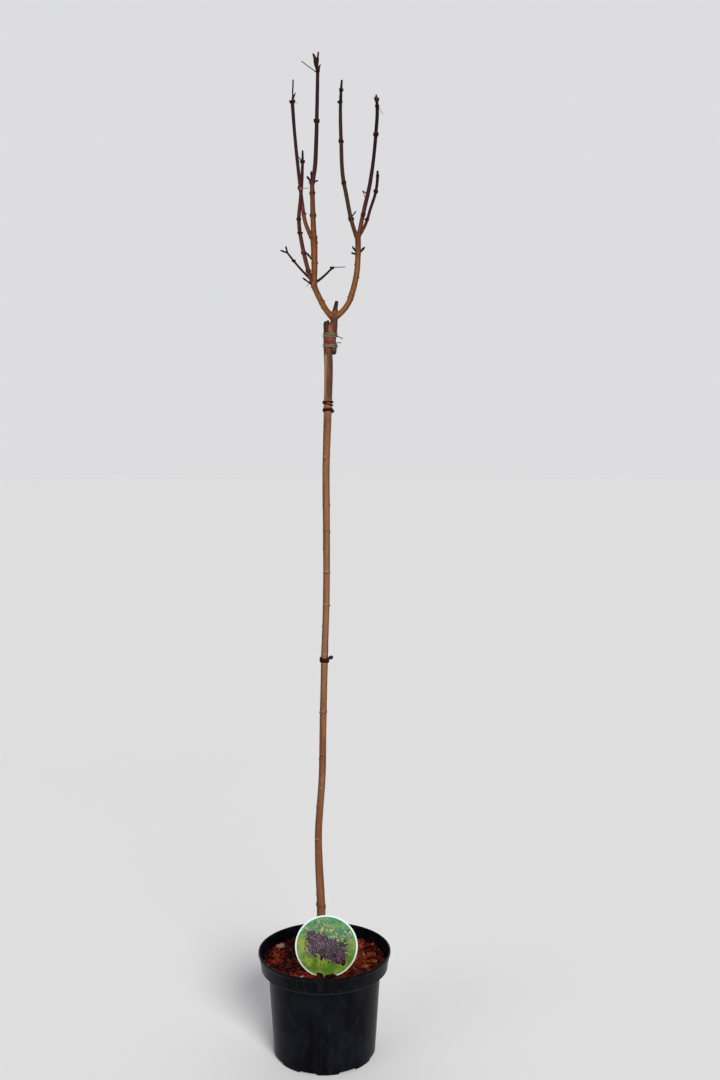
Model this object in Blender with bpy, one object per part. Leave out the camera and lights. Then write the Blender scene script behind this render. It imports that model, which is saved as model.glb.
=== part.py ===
"""A young norway maple, top-grafted on a slim straight stem, bare in winter, in its nursery pot.

Metres, +Z up. The origin is the centre of the pot's flat underside, and the front is -Y.
Every woody piece is a limb: a tube that runs smoothly through a few points of its centre line,
tapers between a few radii and swells at its bud nodes.
"""

import math
import random
from collections import namedtuple

import bmesh
import bpy
import numpy as np
from mathutils import Matrix, Vector

GAP = 0.0003  # between pieces that touch on the real plant
SHARP_ANGLE = math.radians(40)  # edges that turn more than this stay sharp

# The pot: a 26 cm nursery container with a turned-out lip band
POT_HEIGHT = 0.202
POT_RIM_RADIUS = 0.129
POT_BAND_FOOT = 0.168  # height of the band's lower edge
POT_BAND_RADIUS = 0.1225
POT_BODY_RADIUS = 0.1095  # just under the band
POT_FOOT_RADIUS = 0.099
POT_WALL = 0.0018
POT_LIP = 0.0030  # thickness of the rim
POT_FLOOR = 0.0055
POT_EDGE = 0.0012  # radius of its small roundings
POT_STEPS = 56
DRAINS = 8  # recesses round the pot's foot
DRAIN_TURN = math.radians(-17)  # of the first one, from the front
DRAIN_WIDTH = 0.036
DRAIN_HEIGHT = 0.0042
DRAIN_DEPTH = 0.006

# The compost, a shallow mound of bark chips
SOIL_LEVEL = 0.182
SOIL_EDGE_DROP = 0.004
SOIL_FLAT = 0.035  # radius of the flat top, round the stem
SOIL_BEND = (0.6, 0.3)  # (share of the radius, share of the drop) where its slope steepens

# The round picture label, standing in the compost before the stem
LABEL_RADIUS = 0.0595
LABEL_THICKNESS = 0.0008
LABEL_CENTRE = Vector((0.0055, -0.0632, 0.2356))
LABEL_LEAN = math.radians(4)

# Woody pieces: sides of their tubes, and the distance between rings
TRUNK_SIDES = 14
BOUGH_SIDES = 10
SHOOT_SIDES = 6
TWIG_SIDES = 5
TRUNK_RING = 0.030
BOUGH_RING = 0.007
SHOOT_RING = 0.014
NODE_RISE = 0.16  # how far a bud node swells, as a share of the radius
NODE_REACH = 0.0035  # along the limb
SPUR_RINGS = 6
SPUR_LIFT = 0.06  # how far a spur's tip curves up, as a share of its length
SPUR_NECK = 0.85  # share of a spur's length where its blunt tip starts

# Buds sit in opposite pairs, each pair a quarter turn from the last
BUD_LENGTH = 0.0042
BUD_RADIUS = 0.0016
BUD_OUTLINE = ((0, 0.7), (0.45, 1), (0.8, 0.7), (1.1, 0.15))  # (share of length, share of radius)
BUD_SIZES = (0.8, 1.1)
BUD_SEAT = 0.55  # depth of a bud's root, as a share of the limb's radius
BUD_SIDES = 5
BUD_TILT = math.radians(38)  # from the limb's direction
BUD_STRAY = 0.2  # radians by which a quarter turn may miss

Limb = namedtuple("Limb", "route radii nodes sides ring", defaults=((), BOUGH_SIDES, BOUGH_RING))
Spur = namedtuple("Spur", "at turn rise length thick thin")


def shoot(route, radii, nodes):
    """A limb as slim as this year's and last year's growth."""
    return Limb(route, radii, nodes, SHOOT_SIDES, SHOOT_RING)


# Centre lines as (x, y, z), from foot to tip; radii as (share of the length, radius)
TRUNK = Limb(
    route=(
        (-0.0057, 0.000, SOIL_LEVEL + GAP), (-0.0068, 0.001, 0.285), (-0.0113, 0.002, 0.436),
        (-0.0040, 0.001, 0.545), (-0.0017, -0.001, 0.657), (0.0010, -0.002, 0.766),
        (0.0052, 0.000, 0.905), (0.0053, 0.002, 1.043), (0.0049, 0.002, 1.134),
        (0.0082, 0.001, 1.245), (0.0098, 0.000, 1.344), (0.0074, 0.001, 1.388),
        (0.0060, 0.001, 1.4194),
    ),
    radii=(
        (0, 0.0112), (0.012, 0.0092), (0.03, 0.0087), (0.13, 0.0079), (0.22, 0.0068),
        (0.42, 0.0066), (0.62, 0.0064), (0.70, 0.0069), (0.80, 0.0070), (0.88, 0.0076),
        (0.94, 0.0079), (0.96, 0.0074), (0.98, 0.0060), (1, 0.0054),
    ),
    nodes=(
        0.291, 0.421, 0.486, 0.521, 0.561, 0.589, 0.672, 0.839, 0.880, 0.943, 0.987, 1.022,
        1.071, 1.164,
    ),
    sides=TRUNK_SIDES,
    ring=TRUNK_RING,
)
SCION = Limb(
    route=(
        (0.0195, -0.001, 1.3540), (0.0203, -0.001, 1.3660), (0.0184, -0.001, 1.3800),
        (0.0202, -0.001, 1.4050), (0.0210, 0.000, 1.4220), (0.0226, 0.000, 1.4360),
        (0.0258, 0.001, 1.4533),
    ),
    radii=(
        (0, 0.0028), (0.06, 0.0052), (0.20, 0.0056), (0.50, 0.0066), (0.70, 0.0068),
        (0.80, 0.0058), (0.90, 0.0036), (1, 0.0033),
    ),
    ring=0.004,
)
LEFT_BOUGH = Limb(
    route=(
        (0.0200, 0.000, 1.4210), (0.0092, -0.0029, 1.4322), (-0.0060, -0.0108, 1.4572),
        (-0.0162, -0.0180, 1.4795),
    ),
    radii=((0, 0.0060), (0.3, 0.0053), (1, 0.0054)),
    nodes=(1.4490, 1.4780),
)
LEFT_LEADER = Limb(
    route=(
        (-0.0162, -0.0180, 1.4795), (-0.0150, -0.0206, 1.5083), (-0.0150, -0.0227, 1.5311),
        (-0.0158, -0.0260, 1.5679),
    ),
    radii=((0, 0.0055), (0.5, 0.0055), (0.85, 0.0063), (1, 0.0064)),
    nodes=(1.4810, 1.5200, 1.5660),
)
RIGHT_BOUGH = Limb(
    route=((0.0225, 0.000, 1.4235), (0.0391, 0.0028, 1.4379), (0.0529, 0.0120, 1.4651)),
    radii=((0, 0.0058), (0.3, 0.0052), (1, 0.0052)),
    nodes=(1.4630,),
)
RIGHT_LEADER = Limb(
    route=(
        (0.0529, 0.0120, 1.4651), (0.0622, 0.0170, 1.5020), (0.0655, 0.0220, 1.5435),
        (0.0648, 0.0240, 1.5835),
    ),
    radii=((0, 0.0054), (0.6, 0.0052), (0.9, 0.0054), (1, 0.0058)),
    nodes=(1.4670, 1.5435, 1.5820),
)

# Spurs stand on limbs: (limb, height) of the foot, compass turn from +X and rise in degrees,
# length, and radii at foot and tip
LEFT_LEADER_SPURS = (Spur((0, 1.5230), 150, 55, 0.014, 0.0015, 0.0010),)
RIGHT_LEADER_SPURS = (
    Spur((0, 1.5435), 185, 52, 0.012, 0.0018, 0.0012),
    Spur((0, 1.5430), 165, 14, 0.007, 0.0018, 0.0014),
    Spur((0, 1.5435), 10, 45, 0.013, 0.0019, 0.0013),
)

# Bare twig masses: the first limb is the stem, and later ones take over from it at a node
MASSES = {
    "left_top_twigs": dict(
        seed=3,
        limbs=(
            shoot(
                ((-0.0158, -0.0258, 1.5660), (-0.0172, -0.0275, 1.6063), (-0.0187, -0.0300, 1.6675)),
                ((0, 0.0047), (0.5, 0.0044), (1, 0.0038)), (1.6063, 1.6460, 1.6650),
            ),
            shoot(
                (
                    (-0.0185, -0.0298, 1.6600), (-0.0148, -0.0295, 1.6800), (-0.0105, -0.0270, 1.7492),
                    (-0.0094, -0.0250, 1.7933), (-0.0080, -0.0203, 1.8690),
                ),
                ((0, 0.0034), (0.2, 0.0037), (0.6, 0.0032), (1, 0.0029)), (1.7751, 1.8660),
            ),
        ),
        spurs=(
            Spur((0, 1.6635), 170, 50, 0.009, 0.0020, 0.0014),
            Spur((0, 1.6650), 100, 86, 0.013, 0.0022, 0.0016),
            Spur((0, 1.6650), 5, 12, 0.007, 0.0018, 0.0014),
            Spur((1, 1.8660), -20, 88, 0.029, 0.0020, 0.0012),
            Spur((1, 1.8660), 172, 74, 0.028, 0.0021, 0.0013),
            Spur((1, 1.8620), 175, 34, 0.033, 0.0010, 0.0008),
        ),
    ),
    "left_outer_twigs": dict(
        seed=5,
        limbs=(
            shoot(
                (
                    (-0.0195, -0.0248, 1.5655), (-0.0296, -0.0171, 1.5881), (-0.0390, 0.0035, 1.6388),
                    (-0.0449, 0.0173, 1.6866), (-0.0519, 0.0300, 1.7505), (-0.0582, 0.0378, 1.8316),
                ),
                ((0, 0.0037), (0.3, 0.0031), (0.8, 0.0029), (1, 0.0032)), (1.6120, 1.6620, 1.8280),
            ),
        ),
        spurs=(
            Spur((0, 1.8290), 25, 87, 0.035, 0.0017, 0.0010),
            Spur((0, 1.8290), 10, 70, 0.012, 0.0015, 0.0012),
        ),
    ),
    "left_low_twigs": dict(
        seed=8,
        limbs=(
            shoot(
                (
                    (-0.0172, -0.0186, 1.4790), (-0.0253, -0.0259, 1.5027), (-0.0322, -0.0361, 1.5288),
                    (-0.0401, -0.0520, 1.5707),
                ),
                ((0, 0.0034), (0.5, 0.0036), (1, 0.0032)), (1.5050, 1.5360, 1.5700),
            ),
            shoot(
                (
                    (-0.0400, -0.0515, 1.5690), (-0.0416, -0.0557, 1.5929), (-0.0383, -0.0612, 1.6270),
                    (-0.0346, -0.0659, 1.6758), (-0.0338, -0.0680, 1.7121),
                ),
                ((0, 0.0032), (0.6, 0.0027), (0.85, 0.0023), (1, 0.0015)), (1.5930, 1.6918),
            ),
            shoot(
                (
                    (-0.0188, -0.0180, 1.4879), (-0.0381, -0.0059, 1.5082), (-0.0541, 0.0055, 1.5276),
                    (-0.0677, 0.0146, 1.5457),
                ),
                ((0, 0.0017), (1, 0.0014)), (1.5276,),
            ),
        ),
        spurs=(
            Spur((0, 1.5360), 120, 60, 0.014, 0.0013, 0.0009),
            Spur((2, 1.5450), 165, 18, 0.012, 0.0014, 0.0011),
            Spur((2, 1.5450), 120, 62, 0.012, 0.0014, 0.0011),
            Spur((0, 1.4800), 220, 22, 0.023, 0.0017, 0.0013),
            Spur((1, 1.6900), 140, 52, 0.012, 0.0012, 0.0009),
        ),
    ),
    "left_inner_twigs": dict(
        seed=13,
        limbs=(
            shoot(
                ((-0.0142, -0.0190, 1.4842), (0.0043, -0.0337, 1.4957), (0.0201, -0.0520, 1.5089)),
                ((0, 0.0023), (0.7, 0.0018), (1, 0.0012)), (1.5061,),
            ),
        ),
        spurs=(Spur((0, 1.5080), -25, -6, 0.024, 0.0009, 0.0008),),
    ),
    "right_inner_twigs": dict(
        seed=21,
        limbs=(
            shoot(
                (
                    (0.0632, 0.0254, 1.5760), (0.0570, 0.0288, 1.5937), (0.0521, 0.0320, 1.6121),
                    (0.0432, 0.0401, 1.6577), (0.0379, 0.0435, 1.6850), (0.0334, 0.0519, 1.7596),
                    (0.0325, 0.0545, 1.8340), (0.0350, 0.0560, 1.8748),
                ),
                ((0, 0.0036), (0.3, 0.0036), (0.7, 0.0032), (0.9, 0.0027), (1, 0.0017)),
                (1.6110, 1.6807, 1.7596, 1.8340, 1.8549),
            ),
        ),
        spurs=(Spur((0, 1.6130), 20, 50, 0.013, 0.0015, 0.0011),),
    ),
    "right_outer_twigs": dict(
        seed=34,
        limbs=(
            shoot(
                (
                    (0.0662, 0.0220, 1.5760), (0.0702, 0.0174, 1.5939), (0.0768, 0.0094, 1.6226),
                    (0.0868, -0.0019, 1.6633), (0.0938, -0.0140, 1.7068), (0.0982, -0.0242, 1.7512),
                    (0.1005, -0.0311, 1.8011), (0.0989, -0.0338, 1.8228),
                ),
                ((0, 0.0036), (0.3, 0.0036), (0.6, 0.0030), (0.93, 0.0032), (1, 0.0024)),
                (1.6150, 1.7512, 1.8011, 1.8150),
            ),
            shoot(
                (
                    (0.0672, 0.0225, 1.5775), (0.0787, 0.0250, 1.5976), (0.0889, 0.0270, 1.6287),
                    (0.0990, 0.0264, 1.6603), (0.1022, 0.0225, 1.6985),
                ),
                ((0, 0.0030), (0.4, 0.0026), (0.9, 0.0026), (1, 0.0018)), (1.6090, 1.6603, 1.6890),
            ),
        ),
        spurs=(Spur((0, 1.6500), 175, 30, 0.008, 0.0014, 0.0012),),
    ),
}

# Ties: height on the stem, how far the band tips over, its half height, and how large its
# knot is and how far it stands off to the side and above
TIES = {
    "tie_upper": dict(height=1.2620, tip=math.radians(14), half_height=0.0042, knot=None),
    "tie_middle": dict(
        height=1.2510, tip=math.radians(-4), half_height=0.0034, knot=(0.0034, 0.0010, 0.0)
    ),
    "tie_lower": dict(
        height=0.7730, tip=math.radians(5), half_height=0.0044, knot=(0.0038, 0.0060, 0.0060)
    ),
}
TIE_THICKNESS = 0.0018
TIE_STEPS = 28
KNOT_FORWARD = 0.2  # how far a knot sits before the stem's middle, as a share of its radius

# Section of a tie or binding: (share of half the thickness outward, share of the half height)
BAND_SECTION = ((-0.9, -0.7), (-0.9, 0.7), (0, 1), (1, 0.6), (1, -0.6), (0, -1))

# Twine bindings round stock and scion: height, half height, half width and half depth
BINDINGS = {
    "graft_twine_upper": dict(height=1.3895, half_height=0.0046, half_width=0.0128, half_depth=0.0085),
    "graft_twine_lower": dict(height=1.3700, half_height=0.0036, half_width=0.0122, half_depth=0.0088),
}
BINDING_X = 0.0128
TWINE_THICKNESS = 0.0012


# --- Materials ---------------------------------------------------------------------------------


def material(name, color, roughness):
    made = bpy.data.materials.new(name)
    made.use_nodes = True
    shader = made.node_tree.nodes["Principled BSDF"]
    shader.inputs["Base Color"].default_value = (*color, 1)
    shader.inputs["Roughness"].default_value = roughness
    shader.inputs["Metallic"].default_value = 0
    return made


# --- Meshes and Booleans -----------------------------------------------------------------------


def new_object(name, mesh, look=None):
    obj = bpy.data.objects.new(name, mesh)
    bpy.context.scene.collection.objects.link(obj)
    if look:
        mesh.materials.append(look)
    mesh.shade_smooth()
    mesh.set_sharp_from_angle(angle=SHARP_ANGLE)
    return obj


def mesh_from(bm, name):
    bmesh.ops.recalc_face_normals(bm, faces=bm.faces)
    mesh = bpy.data.meshes.new(name)
    bm.to_mesh(mesh)
    bm.free()
    return mesh


def bake_modifiers(obj):
    """Replaces the object's mesh by what its modifiers make of it."""
    graph = bpy.context.evaluated_depsgraph_get()
    made = bpy.data.meshes.new_from_object(obj.evaluated_get(graph))
    obj.modifiers.clear()
    old, obj.data = obj.data, made
    bpy.data.meshes.remove(old)


def keep_largest_body(obj):
    """Drops loose scraps that a cut leaves beside the main body."""
    bm = bmesh.new()
    bm.from_mesh(obj.data)
    left = set(bm.verts)
    bodies = []
    while left:
        body, edge = set(), [left.pop()]
        while edge:
            vert = edge.pop()
            body.add(vert)
            near = {e.other_vert(vert) for e in vert.link_edges} & left
            left -= near
            edge.extend(near)
        bodies.append(body)
    bodies.sort(key=len)
    for body in bodies[:-1]:
        bmesh.ops.delete(bm, geom=list(body), context="VERTS")
    bm.to_mesh(obj.data)
    bm.free()


def cut(obj, cutters):
    """Cuts the cutters' shapes out of obj, and removes the cutters."""
    for cutter in cutters:
        modifier = obj.modifiers.new("cut", "BOOLEAN")
        modifier.object = cutter
        modifier.operation = "DIFFERENCE"
    bake_modifiers(obj)
    for cutter in cutters:
        bpy.data.objects.remove(cutter)
    keep_largest_body(obj)


def fuse(stem, others):
    """Joins the others to the stem with one union on their collection."""
    group = bpy.data.collections.new("to fuse")
    for obj in others:
        bpy.context.scene.collection.objects.unlink(obj)
        group.objects.link(obj)
    modifier = stem.modifiers.new("fuse", "BOOLEAN")
    modifier.operation = "UNION"
    modifier.operand_type = "COLLECTION"
    modifier.collection = group
    bpy.context.scene.collection.children.link(group)
    bake_modifiers(stem)
    for obj in others:
        bpy.data.objects.remove(obj)
    bpy.data.collections.remove(group)


# --- Round pieces ------------------------------------------------------------------------------


def turned(name, profile, steps, look=None):
    """A solid of revolution about Z. The profile's (radius, height) points start and end on the axis."""
    bm = bmesh.new()
    verts = [bm.verts.new((radius, 0, height)) for radius, height in profile]
    edges = [bm.edges.new(pair) for pair in zip(verts, verts[1:])]
    bmesh.ops.spin(
        bm, geom=verts + edges, cent=(0, 0, 0), axis=(0, 0, 1), angle=2 * math.pi, steps=steps
    )
    bmesh.ops.remove_doubles(bm, verts=bm.verts, dist=1e-6)
    return new_object(name, mesh_from(bm, name), look)


def make_pot():
    edge = POT_EDGE
    ledge = POT_BAND_FOOT + POT_WALL
    profile = (
        (0, 0),
        (POT_FOOT_RADIUS - edge, 0),
        (POT_FOOT_RADIUS, edge),
        (POT_BODY_RADIUS, POT_BAND_FOOT),
        (POT_BAND_RADIUS - edge, POT_BAND_FOOT),
        (POT_BAND_RADIUS, POT_BAND_FOOT + edge),
        (POT_RIM_RADIUS, POT_HEIGHT - edge),
        (POT_RIM_RADIUS - edge, POT_HEIGHT),
        (POT_RIM_RADIUS - POT_LIP + edge, POT_HEIGHT),
        (POT_RIM_RADIUS - POT_LIP, POT_HEIGHT - edge),
        (POT_BAND_RADIUS - POT_WALL, ledge),
        (POT_BODY_RADIUS - POT_WALL, ledge - edge),
        (POT_FOOT_RADIUS - POT_WALL, POT_FLOOR),
        (0, POT_FLOOR),
    )
    pot = turned("pot", profile, POT_STEPS, material("pot plastic", (0.012, 0.013, 0.016), 0.38))
    cut(pot, [drain_cutter(DRAIN_TURN + 2 * math.pi * n / DRAINS) for n in range(DRAINS)])
    return pot


def drain_cutter(turn):
    """A box over the pot's foot, at a compass turn counted from the front."""
    bm = bmesh.new()
    reach = 2 * DRAIN_DEPTH
    size = Matrix.Diagonal((DRAIN_WIDTH, reach, 2 * DRAIN_HEIGHT, 1))
    bmesh.ops.create_cube(bm, size=1, matrix=Matrix.Rotation(turn, 4, "Z")
                          @ Matrix.Translation((0, -POT_FOOT_RADIUS, 0)) @ size)
    return new_object("drain", mesh_from(bm, "drain"))


def make_soil():
    """The compost fills the pot's inside, GAP clear of its walls, with a slot for the label."""
    ledge = POT_BAND_FOOT + POT_WALL
    floor = POT_FLOOR + GAP
    edge_height = SOIL_LEVEL - SOIL_EDGE_DROP
    clear = POT_WALL + 2 * GAP
    lip_share = (edge_height - ledge) / (POT_HEIGHT - ledge)
    inner = POT_BAND_RADIUS - POT_WALL
    edge_radius = inner + lip_share * (POT_RIM_RADIUS - POT_LIP - inner) - 2 * GAP
    profile = (
        (0, floor),
        (POT_FOOT_RADIUS - clear, floor),
        (POT_BODY_RADIUS - clear, ledge + GAP),
        (POT_BAND_RADIUS - clear - GAP, ledge + 2 * GAP),
        (edge_radius, edge_height),
        (SOIL_BEND[0] * edge_radius, SOIL_LEVEL - SOIL_BEND[1] * SOIL_EDGE_DROP),
        (SOIL_FLAT, SOIL_LEVEL),
        (0, SOIL_LEVEL),
    )
    soil = turned("soil", profile, POT_STEPS, material("bark compost", (0.10, 0.03, 0.015), 0.95))
    cut(soil, [disc("slot", LABEL_RADIUS + GAP, LABEL_THICKNESS + 2 * GAP)])
    return soil


def disc(name, radius, thickness, look=None):
    """A disc in the label's place and lean."""
    bm = bmesh.new()
    place = Matrix.Translation(LABEL_CENTRE) @ Matrix.Rotation(math.pi / 2 - LABEL_LEAN, 4, "X")
    bmesh.ops.create_cone(
        bm, cap_ends=True, segments=48, radius1=radius, radius2=radius, depth=thickness, matrix=place
    )
    return new_object(name, mesh_from(bm, name), look)


# --- Limbs -------------------------------------------------------------------------------------


def smooth_route(route, ring):
    """Points about a ring's distance apart on a smooth curve through the route."""
    knots = np.array(route, float)
    steps = np.linalg.norm(np.diff(knots, axis=0), axis=1)
    times = np.concatenate(([0], np.cumsum(steps)))
    slopes = np.gradient(knots, times, axis=0, edge_order=2 if len(knots) > 2 else 1)
    points = []
    for n, step in enumerate(steps):
        for s in np.linspace(0, 1, max(2, round(step / ring)), endpoint=False):
            points.append(
                (1 + 2 * s) * (1 - s) ** 2 * knots[n]
                + s * (1 - s) ** 2 * step * slopes[n]
                + s * s * (3 - 2 * s) * knots[n + 1]
                + s * s * (s - 1) * step * slopes[n + 1]
            )
    return np.array(points + [knots[-1]])


def with_node_rings(points, heights):
    """Adds points beside each bud node, so that its swelling shows."""
    extra = [
        height + offset
        for height in heights
        for offset in (-NODE_REACH, 0, NODE_REACH)
    ]
    low, high = points[0, 2] + NODE_REACH, points[-1, 2]
    wanted = [height for height in extra if low < height < high]
    away = [
        p for p in points[1:-1]
        if all(abs(p[2] - height) > 1.2 * NODE_REACH for height in heights)  # not crowding a node
    ]
    added = [[np.interp(h, points[:, 2], points[:, axis]) for axis in range(3)] for h in wanted]
    middle = sorted([*map(tuple, away), *map(tuple, added)], key=lambda p: p[2])
    return np.array([points[0], *middle, points[-1]])


def radii_along(limb, points):
    """The limb's radius at each point: its taper, swollen at its nodes."""
    steps = np.linalg.norm(np.diff(points, axis=0), axis=1)
    share = np.concatenate(([0], np.cumsum(steps))) / steps.sum()
    radii = np.interp(share, *zip(*limb.radii))
    for height in limb.nodes:
        radii *= 1 + NODE_RISE * np.exp(-(((points[:, 2] - height) / (0.6 * NODE_REACH)) ** 2))
    return radii


def limb_points(limb):
    return with_node_rings(smooth_route(limb.route, limb.ring), limb.nodes)


def tube(name, points, radii, sides, look=None, level_foot=False):
    """A closed tube with flat ends, square to its line or, at a level foot, horizontal."""
    bm = bmesh.new()
    tangents = [Vector(t).normalized() for t in np.gradient(points, axis=0)]
    if level_foot:
        tangents[0] = Vector((0, 0, 1))
    across = tangents[0].orthogonal().normalized()
    rings = []
    for point, radius, along in zip(points, radii, tangents):
        across = (across - along * across.dot(along)).normalized()
        side = along.cross(across)
        angles = [2 * math.pi * n / sides for n in range(sides)]
        rings.append([
            bm.verts.new(Vector(point) + (across * math.cos(a) + side * math.sin(a)) * float(radius))
            for a in angles
        ])
    for low, high in zip(rings, rings[1:]):
        for n in range(sides):
            bm.faces.new((low[n], low[n - 1], high[n - 1], high[n]))
    bm.faces.new(rings[0])
    bm.faces.new(rings[-1])
    return new_object(name, mesh_from(bm, name), look)


def make_limb(name, limb, look=None, level_foot=False):
    points = limb_points(limb)
    return tube(name, points, radii_along(limb, points), limb.sides, look, level_foot)


def clearance(limb):
    """A copy of the limb that is GAP larger all round and at both ends, to cut its neighbours with."""
    points = limb_points(limb)
    radii = radii_along(limb, points) + GAP
    for end, inner in ((0, 1), (-1, -2)):
        out = points[end] - points[inner]
        points[end] += GAP * out / np.linalg.norm(out)
    return tube("clearance", points, radii, limb.sides)


# --- Twigs -------------------------------------------------------------------------------------


def place_at(limb, height):
    """The point of the limb's centre line at a height, its direction there, and its radius."""
    points = limb_points(limb)
    radii = radii_along(limb, points)
    n = min(max(int(np.searchsorted(points[:, 2], height)), 1), len(points) - 1)
    along = Vector(points[n] - points[n - 1]).normalized()
    point = Vector([np.interp(height, points[:, 2], points[:, axis]) for axis in range(3)])
    return point, along, float(np.interp(height, points[:, 2], radii))


def make_spur(limbs, spur):
    """A short side twig, rooted on its limb's centre line, that curves up a little."""
    which, height = spur.at
    foot, _, radius = place_at(limbs[which], height)
    turn, rise = math.radians(spur.turn), math.radians(spur.rise)
    away = Vector((math.cos(rise) * math.cos(turn), math.cos(rise) * math.sin(turn), math.sin(rise)))
    length = spur.length + radius
    lift = Vector((0, 0, SPUR_LIFT * spur.length))
    shares = np.linspace(0, 1, SPUR_RINGS)
    points = np.array([foot + away * length * s + lift * s * s for s in shares])
    radii = np.interp(shares, (0, SPUR_NECK, 1), (spur.thick, spur.thin, 0.5 * spur.thin))
    return tube("spur", points, radii, TWIG_SIDES)


def make_bud(foot, along, out, radius, size):
    """A pointed bud that leans away from its limb, rooted inside it."""
    away = (along * math.cos(BUD_TILT) + out * math.sin(BUD_TILT)).normalized()
    length = BUD_LENGTH * size
    root = foot + out * BUD_SEAT * radius
    points = np.array([root + away * length * share for share, _ in BUD_OUTLINE])
    radii = [BUD_RADIUS * size * share for _, share in BUD_OUTLINE]
    return tube("bud", points, radii, BUD_SIDES)


def make_buds(limb, rng):
    """An opposite pair of buds at each node, each pair a quarter turn from the last."""
    turn = rng.uniform(0, math.pi)
    buds = []
    for height in limb.nodes:
        foot, along, radius = place_at(limb, height)
        across = along.cross(Vector((0, 1, 0))).normalized()
        out = Matrix.Rotation(turn, 3, along) @ across
        for side in (out, -out):
            buds.append(make_bud(foot, along, side, radius, rng.uniform(*BUD_SIZES)))
        turn += math.pi / 2 + rng.uniform(-BUD_STRAY, BUD_STRAY)
    return buds


def make_mass(name, seed, limbs, spurs, parents, look):
    """Bare twigs that grow from one stem, fused, and cut clear of what carries them."""
    rng = random.Random(seed)
    stem = make_limb(name, limbs[0], look)
    others = [make_limb("shoot", limb) for limb in limbs[1:]]
    others += [make_spur(limbs, spur) for spur in spurs]
    others += [bud for limb in limbs for bud in make_buds(limb, rng)]
    fuse(stem, others)
    cut(stem, [clearance(parent) for parent in parents])
    return stem


# --- Ties and bindings -------------------------------------------------------------------------


def band(name, centre, tip, half_width, half_depth, half_height, thickness, look):
    """A flat loop round the wood, tipped over about Y, which the wood's clearance then trims."""
    bm = bmesh.new()
    turn = Matrix.Translation(centre) @ Matrix.Rotation(tip, 4, "Y")
    rings = []
    for n in range(TIE_STEPS):
        angle = 2 * math.pi * n / TIE_STEPS
        ring = []
        for out, up in BAND_SECTION:
            reach = 0.5 * out * thickness
            spot = Vector((
                (half_width + reach) * math.cos(angle),
                (half_depth + reach) * math.sin(angle),
                up * half_height,
            ))
            ring.append(bm.verts.new(turn @ spot))
        rings.append(ring)
    for n, ring in enumerate(rings):
        for k in range(len(BAND_SECTION)):
            bm.faces.new((rings[n - 1][k - 1], rings[n - 1][k], ring[k], ring[k - 1]))
    return new_object(name, mesh_from(bm, name), look)


def knot(centre, size):
    bm = bmesh.new()
    bmesh.ops.create_icosphere(bm, subdivisions=2, radius=size, matrix=Matrix.Translation(centre))
    return new_object("knot", mesh_from(bm, "knot"))


def make_ties():
    look = material("tie", (0.03, 0.015, 0.012), 0.7)
    for name, tie in TIES.items():
        foot, _, radius = place_at(TRUNK, tie["height"])
        reach = radius + 0.5 * TIE_THICKNESS
        made = band(name, foot, tie["tip"], reach, reach, tie["half_height"], TIE_THICKNESS, look)
        if tie["knot"]:
            size, off, above = tie["knot"]
            root = foot + Vector((reach, 0, 0))
            spot = root + Vector((off, -KNOT_FORWARD * radius, above))
            tail = tube("tail", np.array([root, spot]), (0.4 * size, 0.5 * size), TWIG_SIDES)
            fuse(made, [tail, knot(spot, size)])
        cut(made, [clearance(TRUNK)])


def make_bindings():
    look = material("twine", (0.22, 0.25, 0.14), 0.9)
    for name, binding in BINDINGS.items():
        centre = Vector((BINDING_X, 0, binding["height"]))
        made = band(
            name, centre, 0, binding["half_width"] + TWINE_THICKNESS,
            binding["half_depth"], binding["half_height"], TWINE_THICKNESS, look,
        )
        cut(made, [clearance(TRUNK), clearance(SCION)])


# --- The whole plant ---------------------------------------------------------------------------


def make_wood():
    bark = material("stem bark", (0.30, 0.13, 0.06), 0.7)
    graft = material("graft bark", (0.16, 0.06, 0.045), 0.8)
    bough = material("bough bark", (0.33, 0.14, 0.03), 0.6)
    make_limb("trunk", TRUNK, bark, level_foot=True)
    cut(make_limb("scion", SCION, graft), [clearance(TRUNK)])
    cut(make_limb("left_bough", LEFT_BOUGH, bough), [clearance(TRUNK), clearance(SCION)])
    cut(make_limb("right_bough", RIGHT_BOUGH, bough), [clearance(SCION), clearance(LEFT_BOUGH)])
    leaders = (
        ("left_leader", LEFT_LEADER, LEFT_LEADER_SPURS, LEFT_BOUGH),
        ("right_leader", RIGHT_LEADER, RIGHT_LEADER_SPURS, RIGHT_BOUGH),
    )
    for name, limb, spurs, carrier in leaders:
        leader = make_limb(name, limb, bough)
        fuse(leader, [make_spur((limb,), spur) for spur in spurs])
        cut(leader, [clearance(carrier)])


def make_masses():
    young = material("shoot bark", (0.12, 0.035, 0.03), 0.6)
    top_stem = MASSES["left_top_twigs"]["limbs"][0]
    inner_stem = MASSES["right_inner_twigs"]["limbs"][0]
    low_stem = MASSES["left_low_twigs"]["limbs"][0]
    carriers = {
        "left_top_twigs": (LEFT_LEADER,),
        "left_outer_twigs": (LEFT_LEADER, top_stem),
        "left_low_twigs": (LEFT_BOUGH, LEFT_LEADER),
        "left_inner_twigs": (LEFT_BOUGH, LEFT_LEADER, low_stem),
        "right_inner_twigs": (RIGHT_LEADER,),
        "right_outer_twigs": (RIGHT_LEADER, inner_stem),
    }
    for name, mass in MASSES.items():
        make_mass(name, mass["seed"], mass["limbs"], mass["spurs"], carriers[name], young)


def make_label():
    disc("label", LABEL_RADIUS, LABEL_THICKNESS, material("label card", (0.25, 0.40, 0.10), 0.4))


def main():
    for obj in list(bpy.data.objects):
        bpy.data.objects.remove(obj)
    make_pot()
    make_soil()
    make_label()
    make_wood()
    make_masses()
    make_ties()
    make_bindings()


main()
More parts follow.
